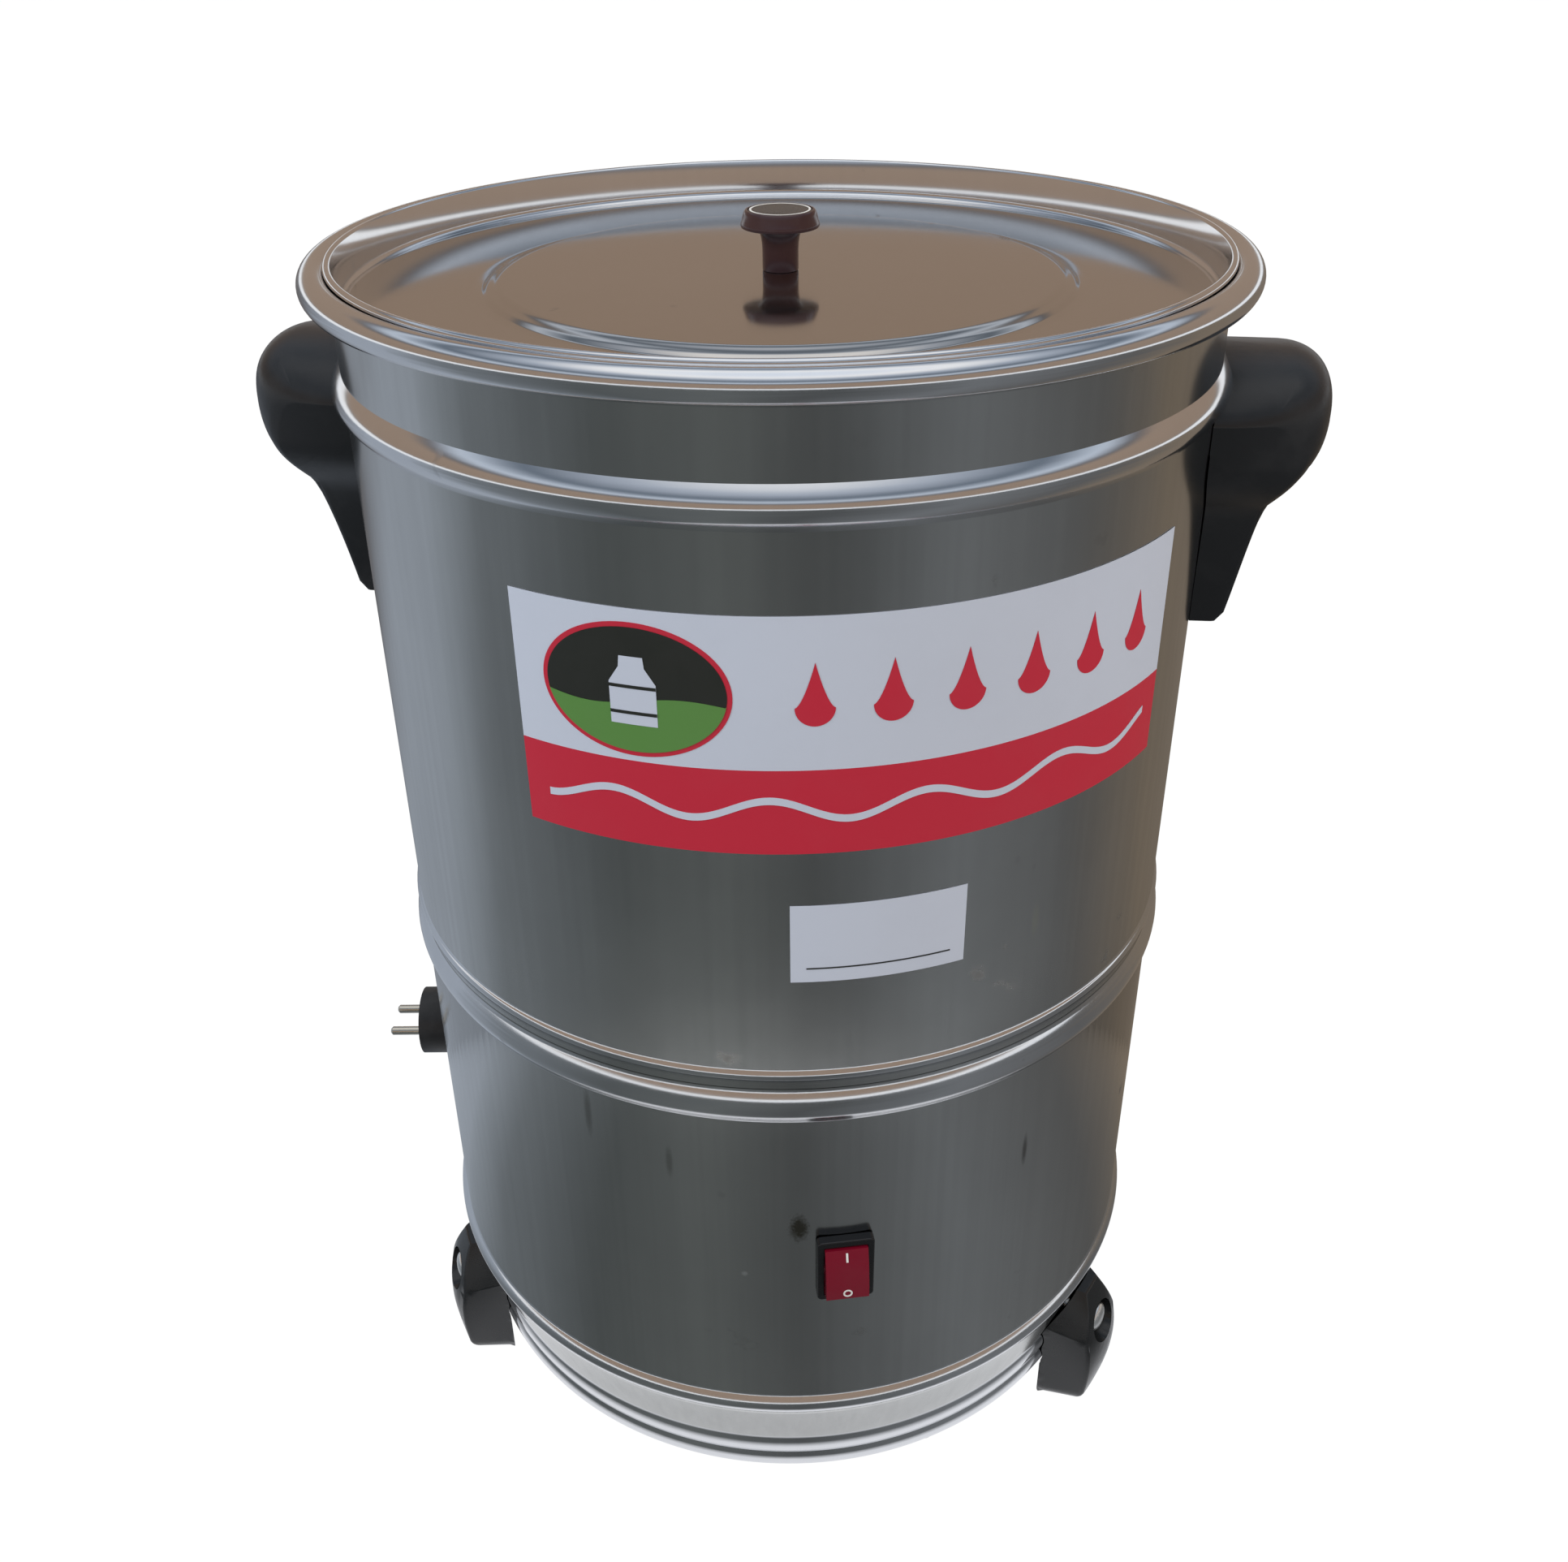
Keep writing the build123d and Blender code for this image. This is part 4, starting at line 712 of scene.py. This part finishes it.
node_finish = {
    "handle_left": handle_black, "handle_right": handle_black, "handle_screws": bright_zinc,
    "foot_front_left": foot_black, "foot_front_right": foot_black, "foot_rear": foot_black,
    "foot_screws": bright_zinc, "foot_nuts": bright_zinc, "tank_floor": inner_steel,
    "bottom_plate": bright_zinc, "plate_screws": bright_zinc,
    "knob_screw": bright_zinc, "seal_housing": inner_steel, "shaft_bush": bronze,
    "shaft_seal": seal_rubber, "motor_bracket": bright_zinc, "bracket_nuts": bright_zinc,
    "stator": stack_grey, "shield_upper": cast_grey, "shield_lower": cast_grey,
    "motor_bolts": bright_zinc, "bearing_upper": bright_zinc, "bearing_lower": bright_zinc,
    "rotor_shaft": bright_zinc, "cooling_fan": fan_plastic, "paddle": cast_grey,
    "paddle_nut": bright_zinc, "run_capacitor": pale_plastic, "capacitor_clamp": bright_zinc,
    "terminal_block": pale_plastic, "switch_body": bezel_black, "switch_rocker": rocker_red,
    "cord_gland": cord_rubber, "cord_tie": cord_rubber, "plug_body": cord_rubber,
    "plug_pins": pin_nickel,
}
node_body = {n: b for b, names in frame["record"]["behaviour"]["bodies"].items() for n in names}
shapers = {
    "handle_left": lambda bm: soften_handle(bm, -1),
    "handle_right": lambda bm: soften_handle(bm, 1),
    "foot_front_left": lambda bm: swell_foot(bm, -FOOT_AZ),
    "foot_front_right": lambda bm: swell_foot(bm, FOOT_AZ),
    "foot_rear": lambda bm: swell_foot(bm, 180.0, REAR_SWELL),
    "foot_screws": lift_screws,
}
for node, finish in node_finish.items():
    welded(node, finish, node_body[node], shapers.get(node))

# %% [markdown]
# The screws that hold the feet have domed heads, which catch the light where a flat one
# would only mirror the floor. Each is the upper half of a flattened ball.

# %% Domed screw heads
HEAD_R, HEAD_H, HEAD_SEAT = 7.6, 3.4, 184.0
HEAD_SUNK = 0.4
REAR_BACK = 5.0
SCREW_Z = 46.0


def place(bm, origin, x_dir, y_dir):
    columns = (x_dir, y_dir, x_dir.cross(y_dir), origin)
    rows = [[c[i] for c in columns] for i in range(3)]
    bmesh.ops.transform(bm, matrix=Matrix(rows + [[0, 0, 0, 1]]), verts=bm.verts)


for name, az, back in (("left", -FOOT_AZ, 0.0), ("right", FOOT_AZ, 0.0), ("rear", 180.0, REAR_BACK)):
    bm = bmesh.new()
    bmesh.ops.create_uvsphere(bm, u_segments=32, v_segments=16, radius=1.0)
    bmesh.ops.scale(bm, vec=(HEAD_R * MM, HEAD_R * MM, HEAD_H * MM), verts=bm.verts)
    bmesh.ops.bisect_plane(
        bm, geom=bm.verts[:] + bm.edges[:] + bm.faces[:],
        plane_co=(0, 0, -HEAD_SUNK * MM), plane_no=(0, 0, -1), clear_outer=True,
    )
    bmesh.ops.contextual_create(bm, geom=[e for e in bm.edges if len(e.link_faces) == 1])
    out, along = axes_at(az)
    place(bm, out * (HEAD_SEAT - back) * MM + UP * SCREW_Z * MM, along, UP)
    head = finish_mesh(bm, f"screw_head_{name}", screw_shine, "base")

# %% [markdown]
# Marks on the rocker: a bar for on near the top and a ring for off near the bottom, let
# into its two sloping faces. They turn with the rocker.

# %% Rocker marks
PIVOT_OUT = 177.15
ROCKER_TILT = radians(10.0)
ROCKER_SLOPE = atan2(1.0, 6.3)
CROWN_H, CROWN_UP, MARK_PROUD = 6.5, 6.2, 0.05
BAR_UP, BAR_W, BAR_L, BAR_T = 8.9, 0.9, 4.2, 0.3
OFF_UP, OFF_OUT_R, OFF_IN_R, OFF_T = -9.3, 2.0, 1.3, 0.2
out_dir, across = axes_at(SWITCH_AZ)
pivot = wall_place(SWITCH_AZ, PIVOT_OUT, SWITCH_Z)
rock_up = UP * cos(ROCKER_TILT) - out_dir * sin(ROCKER_TILT)
rock_out = out_dir * cos(ROCKER_TILT) + UP * sin(ROCKER_TILT)


def on_face(bm, along, sign):
    """Lay a flat drawing on the rocker's upper (+1) or lower (-1) sloping face."""
    height = CROWN_H - (abs(along) - CROWN_UP) * tan(ROCKER_SLOPE) + MARK_PROUD
    origin = pivot + (rock_up * along + rock_out * height) * MM
    face_up = rock_up * cos(ROCKER_SLOPE) - rock_out * sin(ROCKER_SLOPE) * sign
    place(bm, origin, across, face_up)


bm = bmesh.new()
bmesh.ops.create_cube(bm, size=1.0)
bmesh.ops.scale(bm, vec=(BAR_W * MM, BAR_L * MM, BAR_T * MM), verts=bm.verts)
on_face(bm, BAR_UP, 1)
bar = finish_mesh(bm, "on_mark", white_ink, "rocker")

bm = bmesh.new()
bmesh.ops.create_circle(bm, cap_ends=False, radius=OFF_OUT_R * MM, segments=32)
bmesh.ops.create_circle(bm, cap_ends=False, radius=OFF_IN_R * MM, segments=32)
bmesh.ops.bridge_loops(bm, edges=bm.edges)
rim = bmesh.ops.extrude_face_region(bm, geom=bm.faces[:])["geom"]
rim_verts = [g for g in rim if isinstance(g, bmesh.types.BMVert)]
bmesh.ops.translate(bm, vec=(0, 0, OFF_T * MM), verts=rim_verts)
bmesh.ops.recalc_face_normals(bm, faces=bm.faces)
on_face(bm, OFF_UP, -1)
ring = finish_mesh(bm, "off_mark", white_ink, "rocker")

# %% [markdown]
# Two printed labels are glued round the wall. Each printed patch lies between two curves,
# low(x) and high(x), with x measured along the wall in mm from the front. The patch is
# built on the cylinder column by column, then given a thin edge. Patches that overlap lie
# in layers, each a little further out.

# %% Printing helper
INK_T = 0.12
LAYERS = (0.30, 0.45, 0.60, 0.75, 0.90, 1.05)


def printed(name, material, x0, x1, low, high, layer, columns=40, round_ends=False):
    bm = bmesh.new()
    pairs = []
    for i in range(columns + 1):
        t = i / columns
        x = x0 + (x1 - x0) * ((1 - cos(pi * t)) / 2 if round_ends else t)
        a = degrees(x / WALL_R)
        r = WALL_R + LAYERS[layer]
        pairs.append([bm.verts.new(wall_place(a, r, z)) for z in (low(x), high(x))])
    for (a, b), (c, d) in zip(pairs, pairs[1:]):
        bm.faces.new((a, c, d, b))
    bmesh.ops.remove_doubles(bm, verts=bm.verts, dist=1e-7)
    bmesh.ops.recalc_face_normals(bm, faces=bm.faces)
    first = bm.faces[:][0]
    if first.normal.dot(first.calc_center_median()) < 0:
        bmesh.ops.reverse_faces(bm, faces=bm.faces)
    bmesh.ops.solidify(bm, geom=bm.faces[:], thickness=INK_T * MM)
    bmesh.ops.recalc_face_normals(bm, faces=bm.faces)
    obj = finish_mesh(bm, name, material, "base")


def level(z):
    return lambda x: z


def oval(cx, cz, a, b, side):
    """Upper (+1) or lower (-1) half of an oval's outline."""
    return lambda x: cz + side * b * sqrt(max(0.0, 1 - ((x - cx) / a) ** 2))


# %% [markdown]
# The large label: a pale field over a red band. An oval frame at its left holds a dark
# ground with a plain milk can on a meadow.

# %% Large label
LABEL_X0, LABEL_X1 = -79.4, 187.8
LABEL_LOW, BAND_TOP, LABEL_TOP = 381.2, 415.7, 474.0
printed("label_field", label_white, LABEL_X0, LABEL_X1, level(BAND_TOP), level(LABEL_TOP), 0, 64)
printed("label_band", label_red, LABEL_X0, LABEL_X1, level(LABEL_LOW), level(BAND_TOP), 0, 64)

OVAL_X, OVAL_Z, OVAL_A, OVAL_B = -32.5, 443.5, 34.7, 25.5
FRAME_W = 1.8
NO_LOW, NO_HIGH = level(0.0), level(999.0)


def oval_patch(name, material, inset, low, high, layer):
    a, b = OVAL_A - inset, OVAL_B - inset
    under, over = oval(OVAL_X, OVAL_Z, a, b, -1), oval(OVAL_X, OVAL_Z, a, b, 1)
    printed(
        name, material, OVAL_X - a, OVAL_X + a,
        lambda x: min(over(x), max(under(x), low(x))),
        lambda x: max(under(x), min(over(x), high(x))), layer, 48, True,
    )


def meadow(x):
    return OVAL_Z - 4.0 + 2.2 * sin((x - OVAL_X) / 11.0)


oval_patch("oval_frame", label_red, 0.0, NO_LOW, NO_HIGH, 1)
oval_patch("oval_ground", label_dark, FRAME_W, NO_LOW, NO_HIGH, 2)
oval_patch("oval_meadow", label_green, FRAME_W, NO_LOW, meadow, 3)

CAN_LOW, CAN_SHOULDER, CAN_TOP = OVAL_Z - 13.0, OVAL_Z + 3.0, OVAL_Z + 13.0
CAN_HALF, NECK_HALF = 8.5, 4.6
HOOP_T = 1.2


def can_top(x):
    off = abs(x - OVAL_X)
    if off < NECK_HALF:
        return CAN_TOP
    return CAN_SHOULDER + 6.0 * (CAN_HALF - off) / (CAN_HALF - NECK_HALF)


can_x0, can_x1 = OVAL_X - CAN_HALF, OVAL_X + CAN_HALF
printed("oval_churn", label_white, can_x0, can_x1, level(CAN_LOW), can_top, 4, 40)
for i, z in enumerate((CAN_LOW + 4.0, CAN_SHOULDER - 2.0)):
    printed(f"oval_hoop_{i}", label_dark, can_x0, can_x1, level(z), level(z + HOOP_T), 5, 8)

# %% [markdown]
# The rest of the large label: a row of milk drops across the field, and a wave along the
# band below them.

# %% Milk drops and the wave
DROP_R, DROP_TIP, DROP_Z = 7.0, 17.0, 440.0
DROPS = 6
DROP_FIRST, DROP_STEP = 30.0, 27.0
WAVE_Z, WAVE_H, WAVE_T, WAVE_LONG, WAVE_MARGIN = 398.0, 4.0, 3.0, 9.0, 10.0


def drop_tip(cx):
    return lambda x: DROP_Z + DROP_TIP * (1 - abs(x - cx) / DROP_R) ** 1.6


def wave(x):
    return WAVE_Z + WAVE_H * sin(x / WAVE_LONG)


for i in range(DROPS):
    cx = DROP_FIRST + DROP_STEP * i
    round_end = oval(cx, DROP_Z, DROP_R, DROP_R, -1)
    printed(f"drop_{i}", label_red, cx - DROP_R, cx + DROP_R, round_end, drop_tip(cx), 1, 24, True)
wave_x0, wave_x1 = LABEL_X0 + WAVE_MARGIN, LABEL_X1 - WAVE_MARGIN
printed("band_wave", label_white, wave_x0, wave_x1, wave, lambda x: WAVE_T + wave(x), 1, 160)

# %% [markdown]
# The small label below it is left bare but for a ruled line.

# %% Small label
SMALL_X0, SMALL_X1, SMALL_LOW, SMALL_TOP = 20.8, 88.6, 323.5, 358.5
SMALL_MARGIN, RULE_T = 6.0, 0.6
rule_x0, rule_x1, rule_z = SMALL_X0 + SMALL_MARGIN, SMALL_X1 - SMALL_MARGIN, SMALL_LOW + SMALL_MARGIN
printed("small_label", label_white, SMALL_X0, SMALL_X1, level(SMALL_LOW), level(SMALL_TOP), 0, 16)
printed("small_rule", label_dark, rule_x0, rule_x1, level(rule_z), level(rule_z + RULE_T), 1, 12)

# %% [markdown]
# The supply cord leaves its gland behind the left side, bends down into a hank of six and a
# quarter turns tied at the top, and leaves below it for the plug. It is one curve through
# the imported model's own points, with the hank's turns worked out: each turn lies in one
# place of a seven-strand bundle, a cord's width from its neighbours.

# %% Route of the cord
CORD_D, CORD_LENGTH = 7.0, 1500.0
COIL_AZ, COIL_OFF, COIL_Z, COIL_R = -128.5, 232.5, 155.0, 34.0
coil_out, coil_along = axes_at(COIL_AZ)
coil_side = -coil_along
coil_mid = coil_out * COIL_OFF + UP * COIL_Z

GLAND_START, GLAND_EXIT = 185.0, 195.0
LEAD_TURNS = (0, 30, 60)
LEAD_SHARE = 1.5 + cos(radians(30))
gland_dir = axes_at(COIL_AZ - degrees(atan2(COIL_R, COIL_OFF)))[0]
lead_run = (hypot(COIL_OFF, COIL_R) - GLAND_START) / LEAD_SHARE
gland_z = COIL_Z + lead_run * LEAD_SHARE
route = [gland_dir * GLAND_START + UP * gland_z]
for turn in LEAD_TURNS:
    step = gland_dir * cos(radians(turn)) - UP * sin(radians(turn))
    route.append(route[-1] + step * lead_run)

STRANDS = [(0, 0), (7, 0), (3.5, 6.06), (-3.5, 6.06), (-7, 0), (-3.5, -6.06), (3.5, -6.06)]
TURNS, PER_TURN, CROSSING = 6.25, 16, 0.3
for i in range(int(TURNS * PER_TURN) + 1):
    t = i / PER_TURN
    share = min(1.0, max(0.0, (t - int(t) - 1 + CROSSING) / CROSSING))
    here, following = STRANDS[int(t) % 7], STRANDS[(int(t) + 1) % 7]
    outwards, sideways = [a + (b - a) * share for a, b in zip(here, following)]
    angle = -2 * pi * t
    r = COIL_R + outwards
    route.append(coil_mid + coil_side * r * cos(angle) + UP * r * sin(angle) + coil_out * sideways)

PLUG_AT, PIN_BACK, BOOT_BACK, BOOT_OVERLAP = (-210.0, 27.0, 121.0), 13.0, 38.5, 8.0
TAIL_HANDLE = 31.0
plug_dir = Vector((-cos(TURN), -sin(TURN), 0))
plug_back = Vector((plug_dir.y, -plug_dir.x, 0))
boot_end = Vector(PLUG_AT) - plug_dir * PIN_BACK + plug_back * BOOT_BACK
tail_start = boot_end - plug_back * BOOT_OVERLAP
tail_end = coil_mid + coil_side * 6.0 - UP * COIL_R
route += [tail_end - coil_side * TAIL_HANDLE, tail_start + plug_back * TAIL_HANDLE, tail_start]
print("cord route:", len(route), "points")

# %% [markdown]
# The route becomes a round curve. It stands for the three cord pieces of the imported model,
# and the gland, the tie and the plug go with it.

# %% Cord
curve = bpy.data.curves.new("supply_cord", "CURVE")
curve.dimensions = "3D"
curve.bevel_depth = CORD_D * MM / 2
curve.bevel_resolution = 3
curve.use_fill_caps = True
spline = curve.splines.new("NURBS")
spline.points.add(len(route) - 1)
for point, p in zip(spline.points, route):
    point.co = (*(p * MM), 1)
spline.order_u = 3
spline.use_endpoint_u = True
spline.resolution_u = 6
curve.materials.append(cord_rubber)
cord = bpy.data.objects.new("supply_cord", curve)
bpy.context.collection.objects.link(cord)
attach(cord, "base")
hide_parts("cord_lead", "cord_tail", "cord_coil")

# %% [markdown]
# The studio starts with a plain pale floor. It is white for the camera and keeps a little of
# its own shading there, which is where the shadow shows.

# %% Floor
FLOOR_HALF = 40.0
FLOOR_GLOW, GLOW_SHARE = 1.08, 0.92
floor_mesh = bpy.data.meshes.new("floor")
bm = bmesh.new()
bmesh.ops.create_grid(bm, x_segments=1, y_segments=1, size=FLOOR_HALF)
bm.to_mesh(floor_mesh)
bm.free()
floor = bpy.data.objects.new("floor", floor_mesh)
bpy.context.collection.objects.link(floor)
floor_paint, tree, shader = start_material("floor_paint", (0.42, 0.42, 0.42), 0.0, 0.8)
floor_mesh.materials.append(floor_paint)
rays = add_node(tree, "ShaderNodeLightPath").outputs
glow = add_node(tree, "ShaderNodeEmission", Strength=FLOOR_GLOW)
glow_share = calc(tree, "MULTIPLY", rays["Is Camera Ray"], GLOW_SHARE)
seen_floor = mixed_shader(tree, glow_share, shader.outputs[0], glow.outputs[0])
print("floor", 2 * FLOOR_HALF, "m wide")

# %% [markdown]
# Polished metal is only as lively as what it mirrors. The upright wall mirrors the floor
# round the churn, so mirror rays see the floor in soft tones that change with the direction
# from the churn: cool and pale at the left, deep grey in front, warm at the right. Right
# under the churn it is nearly white, and that lights the low bead and the ring.

# %% Tones that the metal mirrors in the floor
FLOOR_TONES = (
    (0.02, (0.42, 0.47, 0.54)), (0.10, (0.18, 0.20, 0.22)), (0.20, (0.095, 0.105, 0.108)),
    (0.27, (0.125, 0.135, 0.135)), (0.34, (0.085, 0.09, 0.092)), (0.44, (0.17, 0.18, 0.19)),
    (0.54, (0.12, 0.12, 0.12)), (0.62, (0.21, 0.17, 0.13)), (0.80, (0.20, 0.165, 0.14)),
    (0.92, (0.14, 0.14, 0.15)), (0.99, (0.36, 0.40, 0.46)),
)
PALE_OUT_R, PALE_IN_R, PALE_SHARE = 0.235, 0.19, 0.85
PALE_COLOR = (0.95, 0.96, 1.0, 1)
where = add_node(tree, "ShaderNodeTexCoord").outputs["Object"]
bearing = add_node(tree, "ShaderNodeTexGradient", gradient_type="RADIAL")
feed(tree, where, bearing.inputs["Vector"])
wander = noise(tree, where, Scale=1.3, Detail=2.0)
shaken = calc(tree, "MULTIPLY_ADD", wander, 0.10, bearing.outputs["Fac"])
tones = tone_ramp(tree, shaken, FLOOR_TONES)
pale_ring = ranged(tree, vector_calc(tree, "LENGTH", where), PALE_OUT_R, PALE_IN_R, 0.0, PALE_SHARE)
mirrored = add_node(tree, "ShaderNodeEmission", Strength=1.0)
feed(tree, mixed(tree, pale_ring, tones, PALE_COLOR), mirrored.inputs["Color"])
whole_floor = mixed_shader(tree, rays["Is Glossy Ray"], seen_floor, mirrored.outputs[0])
feed(tree, whole_floor, tree.nodes["Material Output"].inputs["Surface"])
print("floor tones:", len(FLOOR_TONES))

# %% [markdown]
# The world is white for the camera and gives about half of that as plain light. Mirror rays
# see a room instead, in tones that change with the height: a bright edge at the horizon, a
# warm wall, and a cooler ceiling with a pale window.

# %% World
SKY_TONES = (
    (0.0, (0.90, 0.93, 0.97)), (0.085, (1.0, 1.0, 1.0)), (0.105, (0.16, 0.15, 0.15)),
    (0.13, (0.32, 0.24, 0.185)), (0.44, (0.34, 0.255, 0.195)), (0.50, (0.13, 0.13, 0.14)),
    (0.58, (0.60, 0.67, 0.77)), (0.70, (0.12, 0.15, 0.19)), (0.84, (0.45, 0.50, 0.58)),
    (0.93, (1.0, 1.0, 1.0)), (1.0, (0.80, 0.86, 0.95)),
)
PLAIN_LIGHT = 0.55
world = bpy.data.worlds.new("studio")
bpy.context.scene.world = world
world.use_nodes = True
tree = world.node_tree
back = tree.nodes["Background"]
rays = add_node(tree, "ShaderNodeLightPath").outputs
height = add_node(tree, "ShaderNodeSeparateXYZ")
feed(tree, add_node(tree, "ShaderNodeTexCoord").outputs["Generated"], height.inputs[0])
room = tone_ramp(tree, height.outputs["Z"], SKY_TONES)
feed(tree, mixed(tree, rays["Is Glossy Ray"], (1, 1, 1, 1), room), back.inputs["Color"])
seen = calc(tree, "MAXIMUM", rays["Is Camera Ray"], rays["Is Transmission Ray"])
strength = ranged(tree, seen, 0.0, 1.0, PLAIN_LIGHT, 1.0)
feed(tree, calc(tree, "MAXIMUM", rays["Is Glossy Ray"], strength), back.inputs["Strength"])
print("room tones:", len(SKY_TONES))

# %% [markdown]
# Three large soft lamps: a cool one at the left, a weaker warm one at the right and one
# behind. The metal doesn't mirror them, since it has the room's tones.

# %% Lamps
def lamp(name, at, target, size, watts, color):
    data = bpy.data.lights.new(name, "AREA")
    data.color = color
    data.shape = "RECTANGLE"
    data.size, data.size_y = size
    data.energy = watts
    obj = bpy.data.objects.new(name, data)
    bpy.context.collection.objects.link(obj)
    obj.location = at
    obj.visible_glossy = False
    obj.rotation_euler = (Vector(target) - Vector(at)).to_track_quat("-Z", "Y").to_euler()
    print(name, watts, "W")


lamp("left_softbox", (-1.6, -1.1, 1.7), (0, 0, 0.3), (1.0, 1.4), 26, (0.88, 0.94, 1.0))
lamp("right_softbox", (1.7, -0.8, 1.3), (0, 0, 0.3), (0.7, 1.4), 14, (1.0, 0.93, 0.86))
lamp("back_softbox", (0.2, 1.9, 1.6), (0, 0, 0.4), (1.6, 0.7), 16, (1.0, 1.0, 1.0))
bpy.context.scene.view_settings.view_transform = "Standard"
